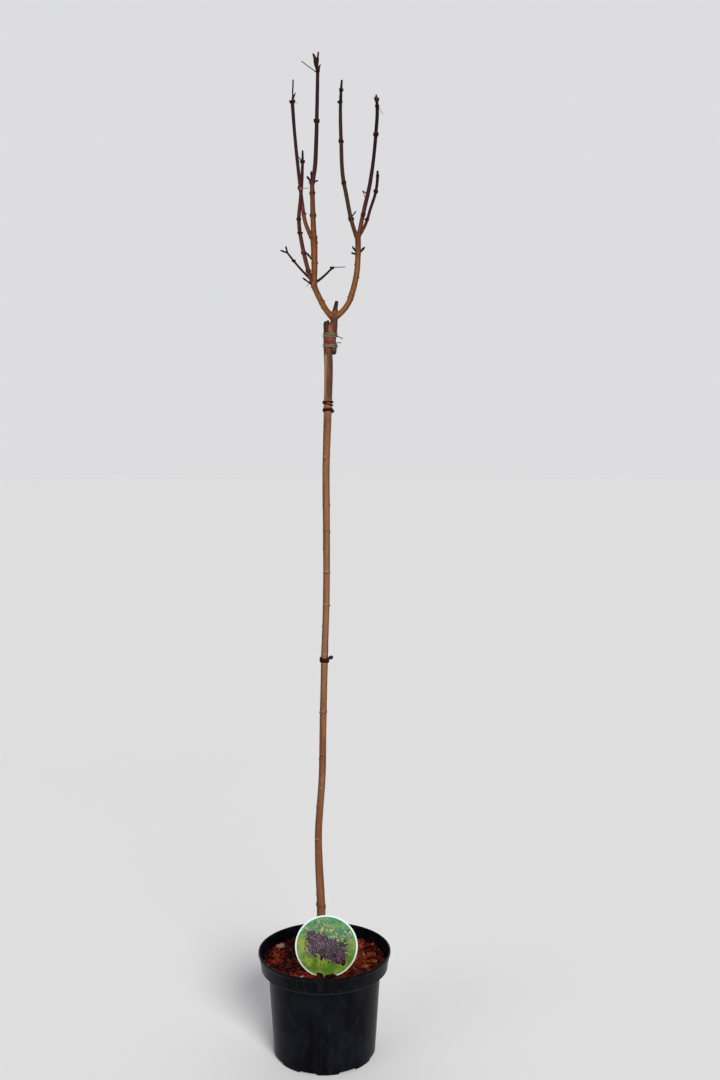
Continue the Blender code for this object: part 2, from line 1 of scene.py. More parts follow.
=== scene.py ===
"""The looks of a young top-grafted norway maple in its nursery pot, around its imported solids.

Metres, +Z up, in the frame of the solids, with the front at -Y. The limbs are the solids' own,
grown again by the same rule with finer rings, bud scales, leaf scars and dry leaf stalks.
"""

import itertools
import math
import random
from collections import namedtuple

import bmesh
import bpy
import numpy as np
from mathutils import Matrix, Vector, noise
from mathutils.bvhtree import BVHTree


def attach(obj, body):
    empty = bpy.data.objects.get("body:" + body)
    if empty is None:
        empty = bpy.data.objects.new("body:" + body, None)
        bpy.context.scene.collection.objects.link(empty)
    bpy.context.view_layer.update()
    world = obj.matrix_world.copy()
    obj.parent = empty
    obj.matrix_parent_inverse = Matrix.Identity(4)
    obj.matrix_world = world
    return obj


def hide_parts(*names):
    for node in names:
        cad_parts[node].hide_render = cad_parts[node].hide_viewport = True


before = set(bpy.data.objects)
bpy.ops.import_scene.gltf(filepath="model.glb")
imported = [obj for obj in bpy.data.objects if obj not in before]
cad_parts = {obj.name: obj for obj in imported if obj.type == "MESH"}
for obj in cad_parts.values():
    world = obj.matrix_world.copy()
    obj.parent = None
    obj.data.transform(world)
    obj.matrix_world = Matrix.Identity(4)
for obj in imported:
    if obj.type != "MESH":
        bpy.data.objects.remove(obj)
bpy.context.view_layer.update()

CAMERA_LENS = 38
CAMERA_PLACE = (0.0693, -2.163, 1.17)
CAMERA_PITCH = math.radians(85.63)
FLOOR_GAP = 0.0005
NOISE_ROUGHNESS = 0.55


# --- Camera, floor and light -------------------------------------------------------------------


def srgb(code):
    """A colour such as "#8a5a25" as the linear RGB that shaders work in."""
    parts = [int(code[n:n + 2], 16) / 255 for n in (1, 3, 5)]
    return tuple(((c + 0.055) / 1.055) ** 2.4 if c > 0.04045 else c / 12.92 for c in parts)


class Nodes:
    """A node tree and the shader that it feeds. A value is a number, a vector, a colour as linear
    RGB or as a code, or another node's output."""

    def __init__(self, tree, shader):
        self.tree, self.shader = tree, tree.nodes[shader]

    def put(self, socket, value):
        if isinstance(value, bpy.types.NodeSocket):
            self.tree.links.new(value, socket)
            return
        if isinstance(value, str):
            value = srgb(value)
        socket.default_value = (*value, 1) if socket.type == "RGBA" else value

    def feed(self, name, value):
        self.put(self.shader.inputs[name], value)

    def add(self, kind, sockets=(), **settings):
        node = self.tree.nodes.new("ShaderNode" + kind)
        for key, value in settings.items():
            setattr(node, key, value)
        for key, value in dict(sockets).items():
            self.put(node.inputs[key], value)
        return node

    def maths(self, operation, *values):
        return self.add("Math", enumerate(values), operation=operation).outputs["Value"]

    def noise(self, scale, detail=4, stretch=(1, 1, 1)):
        """Noise in object space, in waves a metre, stretched along an axis."""
        place = self.add("TexCoord").outputs["Object"]
        place = self.add("Mapping", {"Vector": place, "Scale": stretch}).outputs["Vector"]
        sockets = {"Vector": place, "Scale": scale, "Detail": detail, "Roughness": NOISE_ROUGHNESS}
        return self.add("TexNoise", sockets).outputs["Fac"]

    def span(self, value, low, high, to_low=0.0, to_high=1.0):
        """A value carried from one range to another, and held there."""
        ends = {"Value": value, "From Min": low, "From Max": high, "To Min": to_low, "To Max": to_high}
        return self.add("MapRange", ends).outputs["Result"]

    def blend(self, share, first, second):
        return self.add("Mix", {0: share, 6: first, 7: second}, data_type="RGBA").outputs[2]

    def layers(self, color, *rows):
        """A colour with others over it. Each row has a value, where a layer starts and where it is
        full on that value, how much it then covers, and its colour."""
        for value, start, full, cover, over in rows:
            color = self.blend(self.span(value, start, full, 0.0, cover), color, over)
        return color

    def bump(self, height, strength, distance):
        sockets = {"Height": height, "Strength": strength, "Distance": distance}
        self.feed("Normal", self.add("Bump", sockets).outputs["Normal"])


def new_look(name, roughness, color=(0.5, 0.5, 0.5), specular=0.5):
    """A material and its nodes."""
    made = bpy.data.materials.new(name)
    made.use_nodes = True
    nodes = Nodes(made.node_tree, "Principled BSDF")
    nodes.feed("Base Color", color)
    nodes.feed("Roughness", roughness)
    nodes.feed("Specular IOR Level", specular)
    return made, nodes


def add_object(name, data):
    obj = bpy.data.objects.new(name, data)
    bpy.context.scene.collection.objects.link(obj)
    return obj


def make_camera():
    data = bpy.data.cameras.new("camera")
    data.lens = CAMERA_LENS
    camera = add_object("camera", data)
    camera.location = CAMERA_PLACE
    camera.rotation_euler = (CAMERA_PITCH, 0, 0)
    bpy.context.scene.camera = camera


def make_sun(name, strength, spread, towards, color):
    """A soft light that shines along a direction, evenly all over."""
    data = bpy.data.lights.new(name, "SUN")
    data.energy, data.angle, data.color = strength, math.radians(spread), color
    add_object(name, data).rotation_euler = Vector(towards).to_track_quat("-Z", "Y").to_euler()


def make_sky():
    """Light from all round: stronger from the pale wall behind, weak from the dark front."""
    world = bpy.data.worlds.new("studio")
    world.use_nodes = True
    nodes = Nodes(world.node_tree, "Background")
    place = nodes.add("TexCoord").outputs["Generated"]
    axes = nodes.add("SeparateXYZ", {"Vector": place})
    behind = nodes.span(axes.outputs["Y"], -0.5, 0.9, 0.16, 0.75)
    seen = nodes.add("LightPath").outputs["Is Camera Ray"]
    nodes.feed("Color", "#ececee")
    strength = nodes.add("Mix", {"Factor": seen, "A": behind, "B": 0.86})
    nodes.feed("Strength", strength.outputs["Result"])
    bpy.context.scene.world = world


def make_studio():
    bpy.context.scene.view_settings.view_transform = "Standard"
    make_camera()
    make_sky()
    make_sun("key", 2.7, 24, (-0.3, 0.8, -0.52), (1.0, 0.985, 0.96))
    make_sun("fill", 0.5, 40, (0.7, 0.62, -0.36), (0.95, 0.97, 1.0))
    bm = bmesh.new()
    bmesh.ops.create_circle(bm, cap_ends=True, segments=96, radius=60)
    mesh = bpy.data.meshes.new("floor")
    bm.to_mesh(mesh)
    bm.free()
    mesh.materials.append(new_look("floor", 0.9, (0.9, 0.9, 0.91), 0.2)[0])
    floor = add_object("floor", mesh)
    floor.location.z = -FLOOR_GAP


# --- Materials ---------------------------------------------------------------------------------


def bark_look(name):
    """Bark whose colour is painted on the mesh, with fibres, specks and a dull sheen."""
    made, nodes = new_look(name, 0.6, specular=0.22)
    fibres = nodes.noise(900, 5, (1, 1, 0.12))
    specks = nodes.noise(620, 3, (1, 1, 0.5))
    patches = nodes.noise(60, 4, (1, 1, 0.5))
    nodes.feed("Base Color", nodes.layers(
        nodes.add("VertexColor", layer_name="bark").outputs["Color"],
        (fibres, 0.35, 0.75, 0.5, (0.04, 0.016, 0.007)),
        (patches, 0.5, 0.8, 0.18, (0.3, 0.16, 0.08)),
        (specks, 0.68, 0.74, 0.3, (0.36, 0.23, 0.13)),
    ))
    nodes.feed("Roughness", nodes.span(patches, 0.3, 0.7, 0.46, 0.7))
    nodes.bump(fibres, 0.35, 0.0004)
    return made


def plain_look(name, code, roughness, bump_scale=0, bump_depth=0.0003, specular=0.5):
    """One base colour, with a fine relief where it is asked for."""
    made, nodes = new_look(name, roughness, code, specular)
    if bump_scale:
        nodes.bump(nodes.noise(bump_scale), 0.4, bump_depth)
    return made


def edged_looks(name, code, edge, roughness=0.6, specular=0.12):
    """The looks of a bud: its scales' and their edges'."""
    return [plain_look(name, code, roughness, specular=specular),
            plain_look(f"{name} edge", edge, roughness, specular=specular)]


# --- Meshes ------------------------------------------------------------------------------------


def make_piece(name, verts, faces, looks, slots=None, *, replaces=(), slot=None, sharp=None):
    """A mesh object that stands for CAD nodes, with its faces dealt out to its materials."""
    mesh = bpy.data.meshes.new(name)
    mesh.from_pydata(np.asarray(verts).tolist(), [], [list(map(int, face)) for face in faces])
    for look in looks:
        mesh.materials.append(look)
    if slots is not None:
        mesh.polygons.foreach_set("material_index", np.asarray(slots, np.int32))
    mesh.shade_smooth()
    if sharp:
        mesh.set_sharp_from_angle(angle=math.radians(sharp))
    mesh.validate()
    obj = add_object(name, mesh)
    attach(obj, "root")
    if replaces:
        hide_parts(*replaces)
    return obj


def paint_vertices(obj, colors):
    """Writes a linear RGB colour on each vertex, for the bark's shader to read."""
    layer = obj.data.color_attributes.new("bark", "FLOAT_COLOR", "POINT")
    rgba = np.ones((len(colors), 4), np.float32)
    rgba[:, :3] = colors
    layer.data.foreach_set("color", rgba.ravel())


class Pile:
    """Many small things that become one mesh."""

    def __init__(self):
        self.verts, self.faces, self.slots, self.count = [], [], [], 0

    def add(self, verts, faces, slots=0):
        verts = np.asarray(verts, float)
        self.verts.append(verts)
        self.faces += [[int(v) + self.count for v in face] for face in faces]
        self.slots += list(slots) if np.ndim(slots) else [slots] * len(faces)
        self.count += len(verts)

    def make(self, name, looks, **says):
        return make_piece(name, np.concatenate(self.verts), self.faces, looks, self.slots, **says)


def waves(points, scale, seed=0):
    """Smooth noise from -1 to 1 at each point; scale is in waves a metre, on each axis or on all."""
    places = np.asarray(points).reshape(-1, 3) * scale + 17.3 * seed
    values = [noise.noise(place) for place in places.tolist()]
    return np.array(values).reshape(np.shape(points)[:-1])


def hill(distance, reach):
    """A smooth bump: 1 at no distance, and nearly 0 at twice the reach."""
    return np.exp(-((distance / reach) ** 2))


# --- Limbs, by the same rule as the solids -----------------------------------------------------

GAP = 0.0003
SOIL_LEVEL = 0.182
NODE_RISE = 0.16
NODE_REACH = 0.0035
SPUR_LIFT = 0.06
SPUR_NECK = 0.85
BUD_LENGTH = 0.0042
BUD_RADIUS = 0.0016
BUD_SIZES = (0.8, 1.1)
BUD_SEAT = 0.55
BUD_TILT = math.radians(38)
BUD_STRAY = 0.2

Limb = namedtuple("Limb", "route radii nodes shades", defaults=((), ()))
Spur = namedtuple("Spur", "limb height turn rise length thick thin")
Skin = namedtuple("Skin", "centres along outward spans radii")

# Centre lines as (x, y, z), from foot to tip; radii and shades as (share of the length, value)
TRUNK = Limb(((-0.0057, 0.0, SOIL_LEVEL + GAP), (-0.0068, 0.001, 0.285), (-0.0113, 0.002, 0.436),
              (-0.004, 0.001, 0.545), (-0.0017, -0.001, 0.657), (0.001, -0.002, 0.766),
              (0.0052, 0.0, 0.905), (0.0053, 0.002, 1.043), (0.0049, 0.002, 1.134), (0.0082, 0.001, 1.245),
              (0.0098, 0.0, 1.344), (0.0074, 0.001, 1.388), (0.006, 0.001, 1.4194)),
             ((0, 0.0112), (0.012, 0.0092), (0.03, 0.0087), (0.13, 0.0079), (0.22, 0.0068), (0.42, 0.0066),
              (0.62, 0.0064), (0.7, 0.0069), (0.8, 0.0069), (0.88, 0.0077), (0.94, 0.0084), (0.96, 0.0079),
              (0.98, 0.0062), (1, 0.0056)))
SCION = Limb(((0.0195, -0.001, 1.354), (0.0203, -0.001, 1.366), (0.0184, -0.001, 1.38),
              (0.0202, -0.001, 1.405), (0.021, 0.0, 1.422), (0.0226, 0.0, 1.436), (0.0258, 0.001, 1.4533)),
             ((0, 0.0028), (0.06, 0.0052), (0.2, 0.0056), (0.5, 0.0066), (0.7, 0.0068), (0.8, 0.0058),
              (0.9, 0.0036), (1, 0.0033)))
LEFT_BOUGH = Limb(((0.02, 0.0, 1.421), (0.0092, -0.0029, 1.4322), (-0.006, -0.0108, 1.4572),
                   (-0.0162, -0.018, 1.4795)), ((0, 0.006), (0.3, 0.0053), (1, 0.0054)), (1.449, 1.478))
LEFT_LEADER = Limb(((-0.0162, -0.018, 1.4795), (-0.015, -0.0206, 1.5083), (-0.015, -0.0227, 1.5311),
                    (-0.0158, -0.026, 1.5679)), ((0, 0.0055), (0.5, 0.0055), (0.85, 0.0063), (1, 0.0064)),
                   (1.481, 1.52, 1.566))
RIGHT_BOUGH = Limb(((0.0225, 0.0, 1.4235), (0.0391, 0.0028, 1.4379), (0.0529, 0.012, 1.4651)),
                   ((0, 0.0058), (0.3, 0.0052), (1, 0.0052)), (1.463,))
RIGHT_LEADER = Limb(((0.0529, 0.012, 1.4651), (0.0622, 0.017, 1.502), (0.0655, 0.022, 1.5435),
                     (0.0648, 0.024, 1.5835)), ((0, 0.0054), (0.6, 0.0052), (0.9, 0.0054), (1, 0.0058)),
                    (1.467, 1.5435, 1.582))

# Spurs stand on limbs: number of the limb, height of the foot, compass turn from +X and rise in
# degrees, length, and radii at foot and tip. Those of the boughs count along WOOD.
BOUGH_SPURS = (
    (2, 1.522, 168, 47, 0.017, 0.0022, 0.0018), (4, 1.5435, 185, 52, 0.012, 0.0022, 0.0017),
    (4, 1.543, 165, 14, 0.008, 0.0021, 0.0017), (4, 1.5435, 10, 45, 0.013, 0.0025, 0.002),
)

# Twig masses. The shades of their limbs count along the colours of their bark.
MASSES = {
    "left_top_twigs": dict(
        seed=3,
        limbs=(Limb(((-0.0158, -0.0258, 1.566), (-0.0172, -0.0275, 1.6063), (-0.0187, -0.03, 1.6675)),
                    ((0, 0.0047), (0.5, 0.0044), (1, 0.0038)), (1.6063, 1.646, 1.665),
                    ((0, 1.0), (1, 2.4))),
               Limb(((-0.0185, -0.0298, 1.66), (-0.0148, -0.0295, 1.68), (-0.0105, -0.027, 1.7492),
                     (-0.0094, -0.025, 1.7933), (-0.008, -0.0203, 1.869)),
                    ((0, 0.0034), (0.2, 0.0037), (0.6, 0.0032), (1, 0.0029)), (1.7751, 1.866),
                    ((0, 3.6), (0.3, 5.4), (1, 6.4)))),
        spurs=((0, 1.6635, 170, 50, 0.011, 0.0024, 0.0019), (0, 1.665, 140, 84, 0.015, 0.0026, 0.0019),
               (0, 1.665, 5, 12, 0.007, 0.0019, 0.0015), (1, 1.866, -20, 88, 0.029, 0.002, 0.0012),
               (1, 1.866, 172, 74, 0.028, 0.0021, 0.0013), (1, 1.862, 175, 34, 0.033, 0.001, 0.0008)),
    ),
    "left_outer_twigs": dict(
        seed=5,
        limbs=(Limb(((-0.0195, -0.0248, 1.5655), (-0.0296, -0.0171, 1.5881), (-0.039, 0.0035, 1.6388),
                     (-0.0449, 0.0173, 1.6866), (-0.0519, 0.03, 1.7505), (-0.0582, 0.0378, 1.8316)),
                    ((0, 0.0037), (0.3, 0.0031), (0.8, 0.0029), (1, 0.0032)), (1.612, 1.662, 1.828),
                    ((0, 1.4), (0.25, 2.2), (0.45, 4.4), (0.6, 5.4), (1, 6.0))),),
        spurs=((0, 1.829, 25, 87, 0.035, 0.0017, 0.001), (0, 1.829, 10, 70, 0.012, 0.0015, 0.0012)),
    ),
    "left_low_twigs": dict(
        seed=8,
        limbs=(Limb(((-0.0172, -0.0186, 1.479), (-0.0253, -0.0259, 1.5027), (-0.0322, -0.0361, 1.5288),
                     (-0.0401, -0.052, 1.5707)), ((0, 0.0034), (0.5, 0.0036), (1, 0.0033)),
                    (1.505, 1.536, 1.57), ((0, 2.0), (1, 3.4))),
               Limb(((-0.04, -0.0515, 1.569), (-0.0416, -0.0557, 1.5929), (-0.0383, -0.0612, 1.627),
                     (-0.0346, -0.0659, 1.6758), (-0.0338, -0.068, 1.7121)),
                    ((0, 0.0034), (0.6, 0.0029), (0.85, 0.0023), (1, 0.0015)), (1.593, 1.6918),
                    ((0, 3.4), (0.35, 3.8), (0.8, 5.8), (0.9, 7.4), (1, 8))),
               Limb(((-0.0188, -0.018, 1.4879), (-0.0381, -0.0059, 1.5082), (-0.0541, 0.0055, 1.5276),
                     (-0.0677, 0.0146, 1.5457)), ((0, 0.0021), (1, 0.0017)), (1.5276,),
                    ((0, 5.4), (1, 6.8)))),
        spurs=((0, 1.536, 120, 60, 0.014, 0.0013, 0.0009), (2, 1.545, 165, 18, 0.013, 0.0019, 0.0015),
               (2, 1.545, 120, 62, 0.013, 0.0019, 0.0015), (0, 1.48, 220, 22, 0.023, 0.0019, 0.0015),
               (1, 1.69, 140, 52, 0.012, 0.0012, 0.0009)),
    ),
    "left_inner_twigs": dict(
        seed=13,
        limbs=(Limb(((-0.0142, -0.019, 1.4842), (0.0043, -0.0337, 1.4957), (0.0201, -0.052, 1.5089)),
                    ((0, 0.0023), (0.7, 0.0018), (1, 0.0012)), (1.5061,), ((0, 5.0), (1, 6.8))),),
        spurs=((0, 1.508, -25, -6, 0.024, 0.0009, 0.0008),),
    ),
    "right_inner_twigs": dict(
        seed=21, bark="olive",
        limbs=(Limb(((0.0632, 0.0254, 1.576), (0.057, 0.0288, 1.5937), (0.0521, 0.032, 1.6121),
                     (0.0432, 0.0401, 1.6577), (0.0379, 0.0435, 1.685), (0.0334, 0.0519, 1.7596),
                     (0.0325, 0.0545, 1.834), (0.035, 0.056, 1.8748)),
                    ((0, 0.0036), (0.3, 0.0036), (0.7, 0.0032), (0.9, 0.0027), (1, 0.0017)),
                    (1.611, 1.6807, 1.7596, 1.834, 1.8549),
                    ((0, 3.2), (0.3, 4.2), (0.5, 4.2), (0.75, 4.8), (0.84, 6.2), (0.87, 7.8), (1, 8))),),
        spurs=((0, 1.613, 20, 50, 0.013, 0.0015, 0.0011),),
    ),
    "right_outer_twigs": dict(
        seed=34,
        limbs=(Limb(((0.0662, 0.022, 1.576), (0.0702, 0.0174, 1.5939), (0.0768, 0.0094, 1.6226),
                     (0.0868, -0.0019, 1.6633), (0.0938, -0.014, 1.7068), (0.0982, -0.0242, 1.7512),
                     (0.1005, -0.0311, 1.8011), (0.0996, -0.0324, 1.811)),
                    ((0, 0.0036), (0.3, 0.0036), (0.6, 0.003), (0.95, 0.003), (1, 0.002)),
                    (1.615, 1.7512, 1.8011, 1.815),
                    ((0, 1.4), (0.15, 2.8), (0.28, 4.4), (0.4, 4.6), (0.6, 6.2), (1, 7.4))),
               Limb(((0.0672, 0.0225, 1.5775), (0.0787, 0.025, 1.5976), (0.0889, 0.027, 1.6287),
                     (0.099, 0.0264, 1.6603), (0.1022, 0.0225, 1.6985)),
                    ((0, 0.003), (0.4, 0.0026), (0.9, 0.0026), (1, 0.0018)), (1.609, 1.6603, 1.689),
                    ((0, 2.4), (0.25, 3.8), (0.5, 5.4), (0.9, 7.0), (1, 8)))),
        spurs=((0, 1.65, 175, 30, 0.008, 0.0014, 0.0012),),
    ),
}


def smooth_route(route, ring):
    """Points about a ring's distance apart on a smooth curve through the route."""
    knots = np.array(route, float)
    steps = np.linalg.norm(np.diff(knots, axis=0), axis=1)
    times = np.concatenate(([0], np.cumsum(steps)))
    slopes = np.gradient(knots, times, axis=0, edge_order=2 if len(knots) > 2 else 1)
    points = []
    for n, step in enumerate(steps):
        for s in np.linspace(0, 1, max(2, round(step / ring)), endpoint=False):
            points.append(
                (1 + 2 * s) * (1 - s) ** 2 * knots[n]
                + s * (1 - s) ** 2 * step * slopes[n]
                + s * s * (3 - 2 * s) * knots[n + 1]
                + s * s * (s - 1) * step * slopes[n + 1]
            )
    return np.array(points + [knots[-1]])


def lay_skin(centres, radii, sides):
    """Rings round a line: their centres, its direction, each side's outward direction, and the
    distance along the line. The rings turn as little as they can."""
    along = np.gradient(centres, axis=0)
    along /= np.linalg.norm(along, axis=1)[:, None]
    across = np.empty_like(centres)
    last = np.array((1.0, 0, 0)) if abs(along[0, 0]) < 0.9 else np.array((0, 1.0, 0))
    for n, direction in enumerate(along):
        last = last - direction * last.dot(direction)
        last /= np.linalg.norm(last)
        across[n] = last
    angles = 2 * np.pi * np.arange(sides) / sides
    outward = (
        across[:, None] * np.cos(angles)[:, None]
        + np.cross(along, across)[:, None] * np.sin(angles)[:, None]
    )
    steps = np.linalg.norm(np.diff(centres, axis=0), axis=1)
    return Skin(centres, along, outward, np.concatenate(([0], np.cumsum(steps))), np.array(radii))


def limb_skin(limb, ring, sides, rise=NODE_RISE, fuller=1.0):
    """The limb's rings, with its taper swollen at its nodes."""
    centres = smooth_route(limb.route, ring)
    steps = np.linalg.norm(np.diff(centres, axis=0), axis=1)
    share = np.concatenate(([0], np.cumsum(steps))) / steps.sum()
    radii = fuller * np.interp(share, *zip(*limb.radii))
    for height in limb.nodes:
        radii *= 1 + rise * hill(centres[:, 2] - height, 0.6 * NODE_REACH)
    return lay_skin(centres, radii, sides)


def place_at(skin, height):
    """The point of a skin's centre line at a height, its direction there, and its radius."""
    levels = skin.centres[:, 2]
    n = min(max(int(np.searchsorted(levels, height)), 1), len(levels) - 1)
    point = np.array([np.interp(height, levels, skin.centres[:, axis]) for axis in range(3)])
    return point, skin.along[n], float(np.interp(height, levels, skin.radii))


def ring_faces(rings, sides, closed=False):
    """Faces between rings of vertices that follow each other, and back to the first if closed."""
    start = np.arange(rings if closed else rings - 1)[:, None] * sides
    first, after = start + np.arange(sides), start + (np.arange(sides) + 1) % sides
    quads = np.stack((first, after, after + sides, first + sides), 2) % (rings * sides)
    return quads.reshape(-1, 4).tolist()


def capped_faces(rings, sides):
    """Faces between rings of vertices, and to one more vertex at the foot and one at the tip."""
    faces = ring_faces(rings, sides)
    foot, last = rings * sides, (rings - 1) * sides
    for n in range(sides):
        after = (n + 1) % sides
        faces += [[foot, after, n], [foot + 1, last + n, last + after]]
    return faces


def tube_mesh(skin, proud=0.0):
    """Vertices and faces of a closed tube; proud is how far it stands out, by ring and side."""
    rings, sides = skin.outward.shape[:2]
    reach = skin.radii[:, None] + np.broadcast_to(proud, (rings, sides))
    verts = (skin.centres[:, None] + skin.outward * reach[..., None]).reshape(-1, 3)
    return np.concatenate((verts, skin.centres[:1], skin.centres[-1:])), capped_faces(rings, sides)


# --- Shoots, buds and what hangs on them -------------------------------------------------------

BARKS = {  # from old wood to young
    "red": (
        "#86552b", "#784b28", "#683e24", "#583121", "#49241d", "#3b1a1a", "#2e1216", "#210b0e", "#140606",
    ),
    "olive": (
        "#865826", "#754c22", "#62411f", "#53371c", "#452b18", "#372114", "#281710", "#1b0e0b", "#100707",
    ),
}
SHADES = 9
SHADE_PARTS = 3  # steps between neighbouring shades
SHADE_SPREAD = 0.34  # how far specks of bark stray along the shades
GRAIN_RINGS = 6  # how long a fleck of bark is, in rings
YOUNG_SHADES = (2.8, 5.6)  # from old bark, whose nodes are worn smooth, to this year's
SHOOT_RING = 0.001
SHOOT_SIDES = 20
FULLER = 1.08  # the shoots' own thickness over the solids'
SHOOT_RISE = 0.09  # how far a shoot swells at its nodes, as a share of its radius
BOUGH_RISE = 0.07
BOUGH_RING = 0.0012
BOUGH_SIDES = 28
BOUGH_FULLER = 1.02
SPUR_SIDES = 9
YEAR_RINGS = 4  # scars of the bud scales round a shoot's foot
YEAR_STEP = 0.0017

BUD_SCALES = (0.46, 0.74, 0.97)  # how far up the bud each pair of scales reaches
BUD_OUTLINE = ((0, 0.62), (0.12, 0.86), (0.34, 1), (0.6, 0.86), (0.8, 0.55), (0.93, 0.26), (1, 0.03))
BUD_GRID = (15, 14)
DRY_LENGTH = 0.0235  # spurs longer than this are dry ends with no bud
STALK_RADIUS = 0.00105  # spurs no thicker than this are dry leaf stalks

# What else stands on the masses, by mass. Each row begins as a spur's does: number of the limb,
# height of the foot, compass turn, rise and length.
# Dry leaf stalks: radius, and how far the tip bends down, as a share of the length
Stalk = namedtuple("Stalk", "limb height turn rise length radius bend")
STALKS = {
    "left_outer_twigs": (
        (0, 1.6625, -8, 2, 0.013, 0.0006, 0.05), (0, 1.72, -25, -48, 0.012, 0.0006, -0.1),
        (0, 1.827, -10, -8, 0.006, 0.0005, 0.1),
    ),
    "right_outer_twigs": (
        (0, 1.803, -15, -58, 0.018, 0.00045, 0.04), (0, 1.64, 176, 62, 0.012, 0.0007, -0.35),
    ),
    "left_low_twigs": (
        (0, 1.486, 205, -34, 0.01, 0.0005, 0.2), (0, 1.483, 235, -50, 0.007, 0.0005, 0.2),
    ),
}
# Withered leaves and scales: width, how far they curl as a share of the length, how far their
# faces are spun, in radians, and which look they have
Blade = namedtuple("Blade", "limb height turn rise length width curl spin look", defaults=(0.12, 0, 0))
BLADES = {
    "left_top_twigs": (
        (1, 1.865, 190, 79, 0.03, 0.0078, 0.03, 1.2), (1, 1.866, -120, 83, 0.024, 0.0054, 0.05),
        (1, 1.864, 5, 66, 0.015, 0.0058), (1, 1.866, -95, 70, 0.01, 0.004),
    ),
    "left_outer_twigs": ((0, 1.829, 12, 78, 0.017, 0.0046), (0, 1.829, -70, 74, 0.01, 0.004)),
    "right_outer_twigs": (
        (0, 1.8055, 178, 70, 0.011, 0.0048, 0.05), (0, 1.8055, 5, 70, 0.01, 0.0046, 0.05),
    ),
    "left_low_twigs": ((0, 1.485, 215, 10, 0.007, 0.003),),
}
# Swollen buds beyond the solids' rule: radius and look
SwollenBud = namedtuple("SwollenBud", "limb height turn rise length radius look", defaults=(0,))
SWOLLEN_BUDS = {
    "left_top_twigs": (
        (0, 1.6045, 180, 48, 0.0048, 0.0017), (0, 1.6045, 0, 48, 0.0046, 0.0017),
        (1, 1.774, 186, 40, 0.0052, 0.0021),
    ),
    "left_outer_twigs": (
        (0, 1.8265, 184, 50, 0.0062, 0.0024), (0, 1.827, -4, 58, 0.0066, 0.0022),
        (0, 1.6105, 0, 48, 0.0048, 0.0017),
    ),
    "left_low_twigs": (
        (0, 1.5035, 175, 45, 0.0048, 0.0017), (0, 1.535, 185, 45, 0.005, 0.0018),
        (0, 1.568, 180, 40, 0.0046, 0.0018), (0, 1.568, 0, 40, 0.0046, 0.0018),
        (1, 1.5915, 180, 45, 0.0044, 0.0016), (1, 1.6905, 10, 50, 0.005, 0.0018),
    ),
    "left_inner_twigs": ((0, 1.5035, -49, 28, 0.0105, 0.0019),),
    "right_inner_twigs": (
        (0, 1.831, 182, 42, 0.0062, 0.0023), (0, 1.6095, 0, 45, 0.0046, 0.0017),
    ),
    "right_outer_twigs": (
        (0, 1.815, 186, 48, 0.0056, 0.002), (0, 1.8075, 130, 88, 0.0145, 0.0029, 1),
        (0, 1.6135, 0, 45, 0.0048, 0.0018), (1, 1.6075, 180, 45, 0.0046, 0.0017),
    ),
}
FRESH_SCAR = ("left_low_twigs", 1, 1.645)  # mass, limb and height of a torn patch, still orange
BLADE_GRID = (14, 7)
LENTICEL_STEP = 0.004  # a lenticel stands on a shoot this often
SPUR_RIDGES = 0.0016  # from one ridge of a spur to the next


def compass(turn, rise):
    """A unit direction from a turn from +X and a rise, in degrees."""
    turn, rise = math.radians(turn), math.radians(rise)
    flat = math.cos(rise)
    return np.array((flat * math.cos(turn), flat * math.sin(turn), math.sin(rise)))


def span_at(skin, height):
    """How far along a skin's line a height is."""
    return np.interp(height, skin.centres[:, 2], skin.spans)


def node_relief(skin, height, out, size):
    """What stands out at a node: a pad under each bud, and the edge of the leaf scars, which is
    lowest under the buds. Returns both, by ring and side."""
    away = skin.spans[:, None] - span_at(skin, height)
    towards = np.abs(skin.outward @ out)
    pads = hill(away + 0.3 * size, 0.9 * size) * towards**3
    edge = hill(away + 0.55 * size * towards, 0.3 * size)
    return pads, edge


def year_rings(skin, start):
    """Fine ridges round a shoot, where its first bud's scales fell."""
    rings = np.zeros(len(skin.spans))
    for n in range(YEAR_RINGS):
        rings += hill(skin.spans - start - n * YEAR_STEP, 0.4 * YEAR_STEP)
    return rings[:, None]


def face_slots(shade, rng):
    """The colour of each face of a tube: its corners' mean shade, strayed by long fine flecks."""
    wrapped = np.concatenate((shade, shade[:, :1]), 1)
    mean = (wrapped[:-1, :-1] + wrapped[1:, :-1] + wrapped[:-1, 1:] + wrapped[1:, 1:]) / 4
    rings, sides = mean.shape
    flecks = rng.uniform(-SHADE_SPREAD, SHADE_SPREAD, (rings // GRAIN_RINGS + 3, sides))
    starts = rng.integers(0, GRAIN_RINGS, sides)
    mean = mean + flecks[(np.arange(rings)[:, None] + starts) // GRAIN_RINGS, np.arange(sides)]
    slots = np.clip(np.rint(mean * SHADE_PARTS), 0, (SHADES - 1) * SHADE_PARTS)
    slots = slots.astype(int).ravel().tolist()
    return slots + [slots[0], slots[-1]] * shade.shape[1]


def shoot_looks(name, bark):
    """A bark's shades and the steps between them, each one plain colour with a fine relief."""
    stops = np.array([srgb(code) for code in BARKS[bark]])
    steps = np.arange((SHADES - 1) * SHADE_PARTS + 1) / SHADE_PARTS
    looks = []
    for n, step in enumerate(steps):
        color = [np.interp(step, range(SHADES), stops[:, channel]) for channel in range(3)]
        made, nodes = new_look(f"{name} {n}", 0.62, color, 0.12)
        nodes.bump(nodes.noise(1400), 0.4, 0.0002)
        looks.append(made)
    return looks


